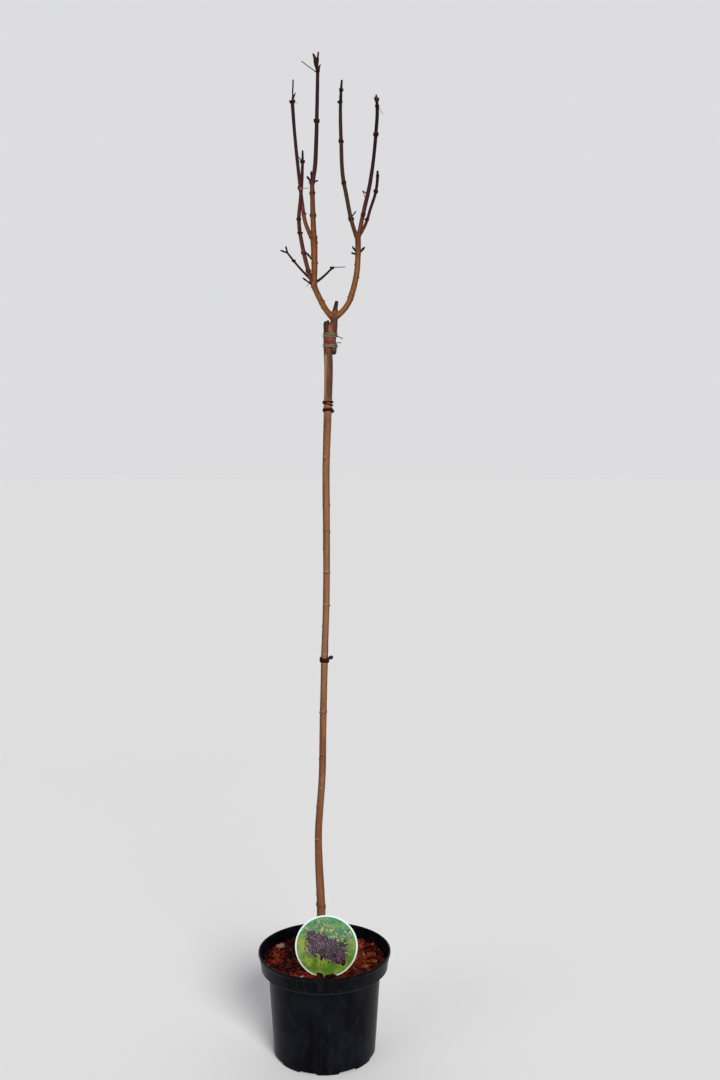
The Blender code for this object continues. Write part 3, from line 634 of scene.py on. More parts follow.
def add_shoot(pile, limb, skin, outs, rng):
    """A shoot with its leaf scars, year rings, fine ribs and lenticels. Its right side is darker,
    and its left edge a little: painted shade."""
    proud = np.zeros(skin.outward.shape[:2])
    levels, radii, right = skin.centres[:, 2], skin.radii[:, None], skin.outward[..., 0]
    around = skin.outward * (2.2, 2.2, 2.2) + skin.centres[:, None] * (0, 0, 55)
    proud += radii * (0.035 * waves(around, 1) + 0.02 * waves(around, (2.6, 2.6, 3.1), 2))
    shade = np.interp(skin.spans / skin.spans[-1], *zip(*limb.shades))[:, None] + 0 * proud
    shade += 0.8 * waves(around, (1.1, 1.1, 0.35), 3)
    # Painted shade: the right side darker, and the left edge a little.
    shade += 2.3 * ease(right, 0.05, 0.8) + 0.6 * ease(-right, 0.55, 0.95)
    for height, out in zip(limb.nodes, outs):
        size = 0.7 * float(np.interp(height, levels, skin.radii))
        pads, edge = node_relief(skin, height, out, size)
        band = hill(skin.spans - span_at(skin, height), 0.0022)[:, None]
        young = float(np.interp(np.interp(height, levels, shade.mean(1)), YOUNG_SHADES, (0.2, 1)))
        proud += 0.55 * size * pads + young * size * (0.26 * edge + 0.14 * band)
        shade += young * (2.4 * edge + 1.2 * band) + 2.0 * pads
    rings = year_rings(skin, 0.006)
    proud += 0.05 * radii * rings
    shade += 0.9 * rings
    for _ in range(int(skin.spans[-1] / LENTICEL_STEP)):
        ring, side = rng.integers(3, len(levels) - 3), rng.integers(0, proud.shape[1])
        proud[ring, side] += 0.00013
        shade[ring, side] -= 1.6
    close_ends(skin, proud, 0.0012)
    pile.add(*tube_mesh(skin, proud), face_slots(shade, rng))


def close_ends(skin, proud, reach):
    """Draws the last rings in to round off the tip."""
    left = (skin.spans[-1] - skin.spans) / reach
    near = left < 1
    keep = np.sqrt(np.clip(1 - (1 - left[near]) ** 2, 0.02, 1))
    proud[near] -= ((1 - keep) * skin.radii[near])[:, None]


def add_bud(pile, root, away, length, radius, look=0):
    """A pointed bud with overlapping pairs of scales; the slot after its look's is their edge."""
    rings, sides = BUD_GRID
    shares = np.linspace(0, 1, rings)
    radii = np.interp(shares, *zip(*BUD_OUTLINE)) * radius
    skin = lay_skin(root + np.outer(shares, away) * length, radii, sides)
    angles = 2 * np.pi * np.arange(sides) / sides
    layers = np.zeros((rings, sides))
    for pair, reach in enumerate(BUD_SCALES):
        facing = np.abs(np.cos(angles - pair * math.pi / 2))
        layers += shares[:, None] < reach * (0.62 + 0.38 * facing)
    steps = np.abs(np.diff(layers, axis=0)) > 0
    slots = (look + steps).ravel().tolist() + [look] * (2 * sides)
    pile.add(*tube_mesh(skin, skin.radii[:, None] * 0.07 * layers), slots)


def add_node_buds(pile, skin, limb, rng):
    """The opposite pairs of buds, by the solids' rule and draws. Returns each pair's direction."""
    turn = rng.uniform(0, math.pi)
    outs = []
    for height in limb.nodes:
        foot, along, radius = place_at(skin, height)
        across = np.cross(along, (0, 1, 0))
        across /= np.linalg.norm(across)
        out = np.array(Matrix.Rotation(turn, 3, Vector(along)) @ Vector(across))
        outs.append(out)
        for side in (out, -out):
            size = rng.uniform(*BUD_SIZES)
            away = along * math.cos(BUD_TILT) + side * math.sin(BUD_TILT)
            length = 1.25 * BUD_LENGTH * size
            add_bud(pile, foot + side * BUD_SEAT * radius, away, length, 1.15 * BUD_RADIUS * size)
        turn += math.pi / 2 + rng.uniform(-BUD_STRAY, BUD_STRAY)
    return outs


def add_spur(pile, buds, stalks, carrier, spur, rng):
    """A short side twig: a budded spur, a dry end or a dry leaf stalk."""
    foot, _, radius = place_at(carrier, spur.height)
    away, length = compass(spur.turn, spur.rise), spur.length + radius
    dry, stalk = spur.length > DRY_LENGTH, spur.thick <= STALK_RADIUS
    bud_length = 0.0 if dry or stalk else min(0.0085, 0.62 * spur.length)
    shares = np.linspace(0, 1 - 0.8 * bud_length / length, max(8, int(length / 0.0008)))
    lift = np.array((0, 0, SPUR_LIFT * spur.length))
    centres = foot + np.outer(shares, away) * length + np.outer(shares**2, lift)
    ends = (0.86 * spur.thick, 0.82 * spur.thick) if dry else (0.95 * spur.thin, 0.85 * spur.thin)
    if dry:
        centres += np.outer(waves(np.outer(shares, (3, 1, 2)), 1, spur.turn), (0.0008, 0.0004, 0))
        centres -= centres[0] - foot
    radii = np.interp(shares, (0, 0.3 if dry else SPUR_NECK, 1), (spur.thick, *ends))
    skin = lay_skin(centres, radii, SPUR_SIDES)
    around = skin.outward * 2.0 + skin.spans[:, None, None] * (0, 0, 700)
    proud = 0.1 * radii[:, None] * waves(around, 1, spur.turn % 7)
    if stalk:
        stalks.add(*tube_mesh(skin, proud))
        return
    proud = proud + 0.05 * np.sin(skin.spans * 2 * math.pi / SPUR_RIDGES)[:, None] * radii[:, None]
    close_ends(skin, proud, 0.8 * radii[-1])
    shade = (7.6 if dry else 6.6) + 0.9 * waves(around, 0.7, 5)
    pile.add(*tube_mesh(skin, proud), face_slots(shade, rng))
    if bud_length:
        tip = skin.along[-1]
        add_bud(buds, centres[-1] - 0.2 * bud_length * tip, tip, 1.15 * bud_length, 1.06 * spur.thin)


def placed(skins, table, kind):
    """Each row of a table as its kind of thing, with its foot and its limb's radius there."""
    for mass, rows in table.items():
        for thing in itertools.starmap(kind, rows):
            foot, _, radius = place_at(skins[mass][thing.limb], thing.height)
            yield thing, foot, radius


def add_stalk(pile, stalk, foot, radius):
    """A dry leaf stalk, a little thicker at its foot."""
    away, shares = compass(stalk.turn, stalk.rise), np.linspace(0, 1, 16)
    droop = np.outer(shares**2, (0, 0, -stalk.bend * stalk.length))
    centres = foot + away * 0.8 * radius + np.outer(shares, away) * stalk.length + droop
    radii = np.interp(shares, (0, 0.15, 0.9, 1), (1.9, 1.0, 0.8, 1.1)) * stalk.radius
    pile.add(*tube_mesh(lay_skin(centres, radii, 7)))


def add_blade(pile, blade, foot, radius, seed):
    """A withered scale: a small pointed leaf, cupped and twisted, with a little thickness."""
    away, flat = compass(blade.turn, blade.rise), compass(blade.turn, 0)
    across = np.cross(away, flat)
    across /= np.linalg.norm(across)
    rows, columns = BLADE_GRID
    shares, sides = np.linspace(0, 1, rows), np.linspace(-1, 1, columns)
    half = 0.5 * blade.width * np.sin(math.pi * (0.12 + 0.86 * shares)) ** 0.8
    twist = blade.spin + 0.7 * shares
    wide = np.outer(half * np.cos(twist), across) + np.outer(half * np.sin(twist), flat)
    lean = np.outer(blade.curl * blade.length * np.sin(3.2 * shares + seed), flat)
    middle = foot + flat * 0.6 * radius + np.outer(shares, away) * blade.length + lean
    cup = np.outer(-0.28 * blade.width * sides**2, flat)
    top = (middle[:, None] + wide[:, None] * sides[:, None] + cup).reshape(-1, 3)
    top += 0.0003 * np.array([waves(top, 500, seed + axis) for axis in range(3)]).T
    at = np.arange(len(top)).reshape(rows, columns)
    faces = np.stack((at[:-1, :-1], at[:-1, 1:], at[1:, 1:], at[1:, :-1]), 2).reshape(-1, 4)
    faces = faces.tolist() + (faces[:, ::-1] + len(top)).tolist()
    rim = [*at[::-1, 0], *at[0, 1:-1], *at[:, -1], *at[-1, -2:0:-1]]
    faces += [(b, a, a + len(top), b + len(top)) for a, b in zip(rim, rim[1:] + rim[:1])]
    pile.add(np.concatenate((top, top - flat * 0.00022)), faces, blade.look)


def make_masses(skins, bud_looks):
    """Each mass's shoots and spurs are one piece and its buds another. Returns the dry stalks."""
    looks = {bark: shoot_looks(f"{bark} shoot bark", bark) for bark in BARKS}
    stalks = Pile()
    for name, mass in MASSES.items():
        rng, grain = random.Random(mass["seed"]), np.random.default_rng(mass["seed"])
        shoots, buds = Pile(), Pile()
        for skin, limb in zip(skins[name], mass["limbs"]):
            outs = add_node_buds(buds, skin, limb, rng)
            add_shoot(shoots, limb, skin, outs, grain)
        for spur in itertools.starmap(Spur, mass["spurs"]):
            add_spur(shoots, buds, stalks, skins[name][spur.limb], spur, grain)
        shoots.make(name.replace("twigs", "shoots"), looks[mass.get("bark", "red")], replaces=[name],
                    slot="twig_bark")
        buds.make(name.replace("twigs", "buds"), bud_looks, slot="twig_bark", sharp=35)
    return stalks


def make_stalks(skins, stalks):
    for stalk, foot, radius in placed(skins, STALKS, Stalk):
        add_stalk(stalks, stalk, foot, radius)
    look = plain_look("dry stalk", "#3f332d", 0.8, 900, 0.0002, 0.2)
    stalks.make("leaf_stalks", [look], slot="twig_bark")


def make_blades(skins):
    blades = Pile()
    for seed, (blade, foot, radius) in enumerate(placed(skins, BLADES, Blade)):
        add_blade(blades, blade, foot, radius, seed)
    looks = [plain_look(f"{name} scale", code, 0.75, 700, 0.0004, 0.15)
             for name, code in (("withered", "#2d140a"), ("grey", "#6a5f4c"))]
    blades.make("withered_scales", looks, slot="twig_bark")


def make_swollen_buds(skins, bud_looks):
    swollen = Pile()
    for bud, foot, radius in placed(skins, SWOLLEN_BUDS, SwollenBud):
        root = foot + 0.5 * radius * compass(bud.turn, 0)
        add_bud(swollen, root, compass(bud.turn, bud.rise), bud.length, bud.radius, 2 * bud.look)
    looks = bud_looks + edged_looks("grey bud", "#3b352a", "#3a1d12", 0.7, 0.1)
    swollen.make("swollen_buds", looks, slot="twig_bark", sharp=35)


def make_fresh_scar(skins):
    mass, limb, height = FRESH_SCAR
    foot, _, radius = place_at(skins[mass][limb], height)
    patch = Pile()
    spot = foot + (-0.15 * radius, -0.25 * radius, 0)
    patch.add(*lump_mesh(spot, (1.2 * radius, 0.95 * radius, 0.004)))
    look = plain_look("fresh scar", "#7b4130", 0.7, 900, 0.0006, 0.1)
    patch.make("fresh_scar", [look], slot="twig_bark")


# --- Stem --------------------------------------------------------------------------------------

# Marks on the stem: height, compass bearing (none for a ring all round), how far it stands out,
# its reach across and along the stem in millimetres, and how dark it and how pale its top is
Scar = namedtuple("Scar", "height bearing rise across tall dark pale")
SCARS = tuple(Scar(*row) for row in (
    (1.1641, 15, 0.9, 2.2, 1.6, 0.2, 0.1), (1.1655, 195, 0.4, 2.4, 1.5, 0.0, 0.8),
    (1.1622, -112, 0.6, 2.2, 1.3, 0.0, 1.0), (1.1572, -108, 0.3, 1.9, 1.8, 0.7, 0.0),
    (1.0228, -108, 0.3, 2.2, 0.9, 0.8, 0.0),
    (1.0713, 0, 1.1, 2.4, 1.7, 0.4, 0.2), (1.07, 185, 0.5, 2.0, 1.5, 0.2, 0.1),
    (1.0225, None, 0.35, 0, 0.9, 0.6, 0.4), (1.0195, -12, 1.6, 2.0, 1.8, 1.1, 0.0),
    (0.9875, 180, 1.0, 2.2, 1.7, 0.3, 0.1), (0.986, 20, 0.5, 2.0, 1.4, 0.3, 0.1),
    (0.9425, None, 0.5, 0, 1.2, 0.9, 1.1), (0.944, 5, 1.1, 2.4, 1.7, 0.4, 0.2),
    (0.8801, None, 0.45, 0, 1.1, 0.4, 0.6), (0.8797, -12, 1.8, 2.0, 1.9, 1.3, 0.0),
    (0.8387, 178, 1.0, 2.2, 1.7, 0.4, 0.1), (0.742, -60, 0.4, 2.0, 1.2, 0.6, 0.3),
    (0.6902, -100, 0.5, 1.6, 1.3, 0.9, 0.2), (0.6725, None, 0.45, 0, 1.1, 0.8, 0.6),
    (0.6735, 2, 1.1, 2.4, 1.8, 0.4, 0.1), (0.6722, 182, 1.1, 2.4, 1.8, 0.4, 0.1),
    (0.5892, -100, 0.6, 2.4, 1.5, 0.9, 0.4), (0.5795, 180, 1.1, 2.3, 1.8, 0.4, 0.1),
    (0.5609, -75, 0.5, 2.2, 1.3, 0.6, 0.3), (0.5214, -105, 0.7, 2.6, 1.6, 1.0, 0.8),
    (0.499, -115, 0.4, 1.5, 1.2, 0.7, 0.1), (0.4859, 180, 1.2, 2.3, 1.8, 0.5, 0.1),
    (0.4204, -120, 0.9, 3.4, 1.8, 1.0, 0.9), (0.419, 60, 0.6, 2.4, 1.5, 0.5, 0.2),
    (0.313, 186, 0.9, 1.6, 1.6, 0.8, 0.1), (0.2927, 180, 1.9, 3.2, 3.6, 0.6, 0.0),
    (0.287, -4, 1.8, 3.0, 3.2, 0.8, 0.0), (0.29, None, 0.25, 0, 2.0, 0.3, 0.0),
    (0.23, -70, 0.8, 2.6, 1.8, 0.5, 0.2), (0.365, 100, 0.9, 2.4, 1.8, 0.5, 0.3),
    (0.77, 95, 0.9, 2.4, 1.8, 0.5, 0.3), (1.13, 85, 0.8, 2.3, 1.7, 0.5, 0.3),
    (1.212, -95, 0.4, 2.2, 1.3, 0.3, 0.3), (1.305, 100, 0.8, 2.3, 1.6, 0.4, 0.2),
    (1.2565, None, 0.75, 0, 2.2, 0.0, 0.1), (1.268, 5, 1.0, 4.0, 3.0, 0.0, 0.0),
    (1.2445, None, 0.35, 0, 2.0, 0.0, 0.1), (0.78, None, 0.4, 0, 3.0, 0.0, 0.1),
    (0.766, None, 0.25, 0, 1.4, 0.0, 0.5), (0.785, -80, 0.4, 2.5, 1.4, 0.1, 0.5),
))
WRINKLES = tuple(
    Scar(0.431 + 0.0042 * n, -130 + 17 * (n % 3), 0.32, 4.5, 0.9, 0.35, 0.25) for n in range(9)
)
LENTICELS = 420
STEM_SEED = 44
TRUNK_RING = 0.0011
TRUNK_SIDES = 44
STUB_CUT = (1.4146, 0.31)  # height of the slanted cut at x = 0, and its slope along X


def press_scar(skin, proud, dark, pale, scar):
    """Raises a scar with a sunken middle, darkens it and lightens the lip above it."""
    levels = skin.centres[:, 2]
    tall, across = scar.tall / 1000, max(scar.across, 1) / 1000
    near = np.abs(levels - scar.height) < 5 * tall
    up = (levels[near] - scar.height)[:, None]
    if scar.bearing is None:
        aside = np.zeros((near.sum(), skin.outward.shape[1]))
        up = up + 0.3 * tall * waves(skin.outward[near] * 1.3, 1, scar.height * 100)
    else:
        facing = np.clip(skin.outward[near] @ compass(scar.bearing, 0), -1, 1)
        aside = np.arccos(facing) * skin.radii[near][:, None]
    body = hill(aside, across) * hill(up, tall)
    pit = hill(aside, 0.5 * across) * hill(up, 0.45 * tall) if scar.bearing is not None else 0
    proud[near] += scar.rise / 1000 * (body - 0.5 * pit)
    dark[near] += 1.3 * scar.dark * hill(aside, across) * hill(up, 0.8 * tall)
    pale[near] += scar.pale * hill(aside, across) * hill(up - 1.5 * tall, 0.8 * tall)


def mixed(share, first, second):
    """Colours mixed by an array of shares."""
    share = np.clip(share, 0, 1)[..., None]
    return (1 - share) * first + share * second


def layered(colors, *layers):
    """Colours with layers over them, each given by its shares and its colour."""
    for share, color in layers:
        colors = mixed(share, colors, color)
    return colors


def ease(values, low, high):
    share = np.clip((values - low) / (high - low), 0, 1)
    return share * share * (3 - 2 * share)


def paint_stem(skin, dark, pale):
    """The stem's bark: pinkish brown, darker and redder at the foot, striped under the graft."""
    base, red, olive, tan, orange, purple, rust, black, lip, grey, pink = (
        np.array(srgb(code)) for code in (
            "#93623f", "#7a4427", "#5f4226", "#a07a55", "#6e3c1e", "#4b312b", "#64301f", "#1c0d08",
            "#bd926a", "#482411", "#955a46",
        )
    )
    levels = skin.centres[:, 2][:, None] + 0 * dark
    left, front = -skin.outward[..., 0], -skin.outward[..., 1]
    drift = waves(skin.centres[:, None] * (0, 0, 14) + skin.outward * 0.9, 1)
    streak = waves(skin.centres[:, None] * (0, 0, 18) + skin.outward * 4, 1, 4)
    striped = layered(  # under the graft
        orange,
        (ease(left + 0.2 * streak, 0.28, 0.46), tan),
        (ease(-left + 0.25 * streak, 0.02, 0.34), purple),
        (ease(-front, 0.2, 0.8) * 0.6, purple),
        (0.8 * hill(left + 0.2 * streak - 0.24, 0.1), rust),
    )
    bound = ease(levels + 0.004 * streak, 1.352, 1.362)  # beside the scion
    under = ease(levels, 1.35, 1.356) * (1 - ease(levels, 1.366, 1.37))
    old = ease(levels + 0.004 * streak, 1.386, 1.396)  # the dry stub
    tied = ease(levels, 1.233, 1.243) * (1 - ease(levels, 1.264, 1.274))
    return layered(
        base,
        (0.75 - 0.65 * ease(levels, 0.42, 0.8) + 0.6 * drift, red),
        (0.35 * ease(streak, 0.0, 0.6), orange),
        (0.45 * hill(levels - 0.555, 0.055) * (0.7 + drift), 0.75 * red),
        # Painted shade: olive and darker toward the left and right sides, darkest at the side edges.
        (0.8 * ease(left + 0.4 * streak, 0.12, 0.85), olive),
        (0.65 * ease(-left + 0.4 * streak, 0.4, 0.95), olive),
        (0.7 * ease(np.abs(left), 0.72, 0.98), 0.4 * olive),
        (ease(levels, 1.205, 1.3), striped),
        # Painted shade down the left edge at the stem's foot.
        (0.8 * ease(left + 0.3 * streak, 0.5, 1.0) * (1 - ease(levels, 0.28, 0.42)), 0.45 * red),
        (0.9 * bound, mixed(0.45 + 0.8 * streak, rust, pink)),
        (0.7 * under, rust * 0.75),
        (0.7 * bound * ease(left, 0.35, 0.75), grey),
        (old, mixed(0.4 + 0.9 * streak, grey, black)),
        (0.9 * old * ease(-left + 0.2 * streak, 0.0, 0.45), black),
        (0.35 * ease(streak, 0.2, 0.7), black),
        (0.7 * tied, pink),
        (0.9 * pale, lip),
        (0.95 * dark, black),
    )


def make_trunk():
    """The stem with its scars and lenticels, and the slanted cut at its top."""
    skin = limb_skin(TRUNK, TRUNK_RING, TRUNK_SIDES)
    around = skin.outward * 1.1 + skin.centres[:, None] * (0, 0, 16)
    fibres = skin.outward * 7 + skin.centres[:, None] * (0, 0, 60)
    proud = 0.00034 * waves(around, 1) + 0.00013 * waves(fibres, 1) + 0.00006 * waves(fibres, 2.7, 2)
    dark, pale = np.zeros_like(proud), np.zeros_like(proud)
    for scar in SCARS + WRINKLES:
        press_scar(skin, proud, dark, pale, scar)
    rng = random.Random(STEM_SEED)
    for _ in range(LENTICELS):
        height, bearing = rng.uniform(0.19, 1.37), rng.uniform(0, 360)
        size = rng.uniform(0.45, 0.8)
        speck = Scar(height, bearing, 0.14, size, 1.4 * size, 0.0, rng.uniform(0.2, 0.6))
        press_scar(skin, proud, dark, pale, speck)
    verts, faces = tube_mesh(skin, proud)
    cut_height, slope = STUB_CUT
    plane = cut_height + slope * verts[:, 0] + 0.0005 * waves(verts, 300)
    axis = np.array([np.interp(verts[:, 2], skin.centres[:, 2], skin.centres[:, n]) for n in (0, 1)]).T
    near_cut = np.clip((verts[:, 2] - plane + 0.0035) / 0.0035, 0, 1)
    verts[:, :2] += (axis - verts[:, :2]) * (0.22 * near_cut**2)[:, None]
    verts[:, 2] = np.minimum(verts[:, 2], plane)
    trunk = make_piece("bark_stem", verts, faces, [bark_look("stem bark")], replaces=["trunk"],
                       slot="stem_bark")
    colors = paint_stem(skin, dark, pale).reshape(-1, 3)
    paint_vertices(trunk, np.concatenate((colors, colors[:1], colors[-1:])))
    return trunk


# --- Crown wood: scion, boughs and the forks of the masses -------------------------------------

WOOD = {
    "scion": SCION, "left_bough": LEFT_BOUGH, "left_leader": LEFT_LEADER,
    "right_bough": RIGHT_BOUGH, "right_leader": RIGHT_LEADER,
}
# Lumps of callus and knots: centre, half sizes
LUMPS = (
    ((0.014, -0.0028, 1.401), (0.0052, 0.0056, 0.0135)),
    ((0.017, -0.003, 1.402), (0.0052, 0.0054, 0.017)),
    ((0.0115, -0.0036, 1.381), (0.01, 0.0062, 0.0085)),
    ((0.015, -0.0026, 1.372), (0.007, 0.006, 0.0085)),
    ((0.014, 0.004, 1.392), (0.007, 0.0052, 0.02)),
    ((0.0228, -0.0012, 1.369), (0.0036, 0.0042, 0.0052)),
    ((0.0208, -0.001, 1.359), (0.0045, 0.0042, 0.005)),
    ((0.0205, -0.002, 1.4285), (0.0068, 0.006, 0.007)),
)
LATENT_BUDS = (  # small dark bumps on the boughs: limb, height, side to the left
    (1, 1.442, True), (1, 1.4495, False), (3, 1.46, True), (3, 1.458, False),
    (2, 1.52, False), (2, 1.534, True), (4, 1.5, False), (4, 1.523, True),
    (2, 1.564, True), (2, 1.556, False), (4, 1.5795, True), (4, 1.5785, False),
)
LATENT_SIZE = (0.0013, 0.0013, 0.0018)
SPUR_SEED = 7
WOOD_VOXEL = 0.00052
WOOD_SMOOTHING = 5
FORK_STUB = 0.012  # how far a mass's stem is blended into its fork
FORKED = {"left_low_twigs": (0, 2), "right_outer_twigs": (0, 1)}  # else a mass's first limb alone
FORK_LEVELS = (LEFT_LEADER.route[-1][2], RIGHT_LEADER.route[-1][2])


def lump_mesh(centre, half, subdivisions=3):
    bm = bmesh.new()
    bmesh.ops.create_icosphere(bm, subdivisions=subdivisions, radius=1)
    verts = np.array([v.co[:] for v in bm.verts]) * half + centre
    faces = [[v.index for v in f.verts] for f in bm.faces]
    bm.free()
    return verts, faces


def fused(pile, voxel, smoothing):
    """The pile's closed meshes melted into one skin, as vertices, normals and faces."""
    mesh = bpy.data.meshes.new("melt")
    mesh.from_pydata(np.concatenate(pile.verts).tolist(), [], pile.faces)
    obj = add_object("melt", mesh)
    remesh = obj.modifiers.new("remesh", "REMESH")
    remesh.mode = "VOXEL"
    remesh.voxel_size = voxel
    smooth = obj.modifiers.new("smooth", "SMOOTH")
    smooth.factor = 0.5
    smooth.iterations = smoothing
    made = bpy.data.meshes.new_from_object(obj.evaluated_get(bpy.context.evaluated_depsgraph_get()))
    verts = np.empty(3 * len(made.vertices), np.float32)
    made.vertices.foreach_get("co", verts)
    normals = np.empty_like(verts)
    made.vertices.foreach_get("normal", normals)
    faces = [list(polygon.vertices) for polygon in made.polygons]
    for data in (made, mesh):
        bpy.data.meshes.remove(data)
    return verts.reshape(-1, 3).astype(float), normals.reshape(-1, 3).astype(float), faces


def fork_stub(skin):
    """The foot of a mass's stem, wider where it leaves its bough and narrower where it ends."""
    count = int(np.searchsorted(skin.spans, FORK_STUB)) + 1
    share = np.linspace(0, 1, count)
    radii = skin.radii[:count] * np.interp(share, (0, 0.5, 1), (1.25, 1.08, 0.8))
    return lay_skin(skin.centres[:count], radii, 20)


def latent_spots(parts):
    """Where the latent buds stand on the boughs."""
    for which, height, leftward in LATENT_BUDS:
        foot, along, radius = place_at(parts[which], height)
        out = np.cross(along, (0, 1, 0)) * (1 if leftward else -1)
        yield foot + out / np.linalg.norm(out) * radius + 0.0006 * along


def nearest_limbs(verts, parts):
    """For each vertex, which limb is nearest, how far along it, and the direction out from it."""
    centres = np.concatenate([skin.centres for skin in parts])
    which = np.concatenate([np.full(len(skin.centres), n) for n, skin in enumerate(parts)])
    spans = np.concatenate([skin.spans for skin in parts])
    nearest = np.concatenate([
        ((chunk[:, None] - centres) ** 2).sum(2).argmin(1) for chunk in np.array_split(verts, 60)
    ])
    out = verts - centres[nearest]
    out /= np.linalg.norm(out, axis=1)[:, None] + 1e-9
    return which[nearest], spans[nearest], out


def scion_shares(verts, on_scion):
    """How far each vertex lies in the scion's rough bark, and in its cut snag."""
    ragged = verts[:, 2] + 0.003 * waves(verts, 260, 8) + 0.0016 * waves(verts, 700, 11)
    rough = np.maximum(1.0 * on_scion, ease(-ragged, -1.429, -1.419))
    inner = ease(verts[:, 2] + 0.003 * waves(verts, 300, 12), 1.427, 1.433)
    rough *= 1 - 0.75 * inner * ease(-verts[:, 2], -1.437, -1.433)
    snag = ease(verts[:, 2] + 0.0025 * waves(verts, 300), 1.434, 1.442) * on_scion
    return rough, snag


def make_crown_wood(skins):
    """The scion, boughs and forks, melted into one skin."""
    pile = Pile()
    parts = [limb_skin(limb, BOUGH_RING, BOUGH_SIDES, BOUGH_RISE, BOUGH_FULLER) for limb in WOOD.values()]
    for skin in parts:
        pile.add(*tube_mesh(skin))
    for name in MASSES:
        for n in FORKED.get(name, (0,)):
            pile.add(*tube_mesh(fork_stub(skins[name][n])))
    for centre, half in LUMPS:
        pile.add(*lump_mesh(centre, half))
    latent = list(latent_spots(parts))
    for spot in latent:
        pile.add(*lump_mesh(spot, LATENT_SIZE, 2))
    verts, normals, faces = fused(pile, WOOD_VOXEL, WOOD_SMOOTHING)
    on, spot, out = nearest_limbs(verts, parts)
    grain = out * 6 + np.outer(spot, (0, 0, 60))
    proud = 0.00016 * waves(out * 1.2 + np.outer(spot, (0, 0, 30)), 1)
    proud += 0.0001 * waves(grain, 1) + 0.00005 * waves(grain, 2.5, 2)
    scion, snag = scion_shares(verts, on == 0)
    proud += (scion + snag) * 0.00034 * waves(verts * (1, 1, 0.4), 330, 3)
    edges = np.zeros(len(verts))
    for n, limb in enumerate(WOOD.values()):
        for height in limb.nodes:
            away = spot - float(span_at(parts[n], height)) + 0.0007 * np.abs(out[:, 0])
            edges += (on == n) * hill(away, 0.0007)
    proud += 0.00014 * edges
    near_bud = sum(hill(np.linalg.norm(verts - bud, axis=1), 0.0017) for bud in latent)
    verts = verts + normals * proud[:, None]
    wood = make_piece("bark_boughs", verts, faces, [bark_look("bough bark")], replaces=list(WOOD),
                      slot="bough_bark")
    paint_vertices(wood, paint_wood(verts, out, on == 0, scion, snag, edges, near_bud))
    return wood, parts


def make_bough_spurs(parts):
    spurs, buds = Pile(), Pile()
    grain = np.random.default_rng(SPUR_SEED)
    for spur in itertools.starmap(Spur, BOUGH_SPURS):
        add_spur(spurs, buds, spurs, parts[spur.limb], spur, grain)
    spurs.make("bough_spurs", shoot_looks("spur bark", "red"), slot="bough_bark")
    looks = edged_looks("spur bud", "#180a09", "#37180f")
    buds.make("bough_spur_buds", looks, slot="bough_bark", sharp=35)


def paint_wood(verts, out, on_scion, scion, snag, edges, near_bud):
    """Ochre-brown boughs, browner on the left, and the scion's red-brown callus and old wood."""
    ochre, brown, olive, red, rust, pink, dark, green, black, shaded, fork = (
        np.array(srgb(code)) for code in (
            "#96521f", "#73401f", "#74541f", "#56291f", "#84392a", "#a2604b", "#2c1611", "#43453a",
            "#0f0806", "#4f250d", "#7c4620",
        )
    )
    across, levels = verts[:, 0], verts[:, 2]
    coarse, fine = waves(verts, 55, 1), waves(verts * (1, 1, 0.3), 420, 2)
    colors = layered(ochre, (0.35 + 0.7 * coarse, olive),
                     (0.7 * ease(-out[:, 0] + 0.4 * fine, 0.5, 1.0), 0.6 * brown))
    colors = layered(colors, (0.25 + 1.2 * fine * (1 - scion), 0.8 * colors),
                     (ease(levels, 1.525, 1.585) * 0.75, 0.85 * brown))
    for side, level in ((-1, FORK_LEVELS[0]), (1, FORK_LEVELS[1])):
        below = levels + 0.002 * coarse - level
        here = side * across > 0
        # Painted shade on the right bough, below its fork.
        if side > 0:
            colors = mixed(0.75 * ease(below, -0.055, -0.02) * here, colors, 1.25 * shaded)
        mottled = fork * (0.8 + 0.4 * fine[:, None])
        colors = mixed(0.9 * ease(below, -0.016, -0.003) * here, colors, mottled)
    # Painted shade down the right side of the boughs, a little less on the tree's right half.
    painted_side_shade = np.where(across > 0, 0.7, 0.85) * ease(out[:, 0] + 0.3 * fine, 0.05, 0.75)
    patches = (  # how much each covers, its colour, centre and reach
        (1.3, pink, (0.0128, -0.0085, 1.401), (0.0055, 0.008, 0.008)),
        (0.8, red, (0.019, -0.007, 1.408), (0.004, 0.008, 0.012)),
        (1.2, rust, (0.0135, -0.008, 1.381), (0.01, 0.01, 0.0055)),
        (0.8, rust, (0.02, -0.006, 1.4265), (0.005, 0.008, 0.0045)),
    )
    bark = layered(
        red,
        (0.45 + 1.1 * waves(verts * (1, 1, 1.6), 260, 5), dark),
        (0.5 * ease(waves(verts * (0.6, 0.6, 2.0), 520, 6), 0.25, 0.5), pink),
        *((cover * hill(np.linalg.norm((verts - centre) / reach, axis=1), 1), color)
          for cover, color, centre, reach in patches),
        (ease(-levels + 0.001 * fine, -1.3765, -1.3735) * ease(across, 0.014, 0.018), green),
        (ease(-levels + 0.002 * fine, -1.364, -1.359), black),
        (0.8 * ease(out[:, 0], 0.4, 0.9) * on_scion, dark),
        (0.5 * ease(waves(verts, 700, 9), 0.1, 0.5), dark),
    )
    return layered(
        colors, (painted_side_shade, shaded), (scion, bark), (snag, mixed(0.5 + fine, dark, black)),
        (0.35 * np.clip(edges, 0, 1), dark), (0.9 * np.clip(near_bud, 0, 1), dark),
    )


# --- Ties and twine ----------------------------------------------------------------------------

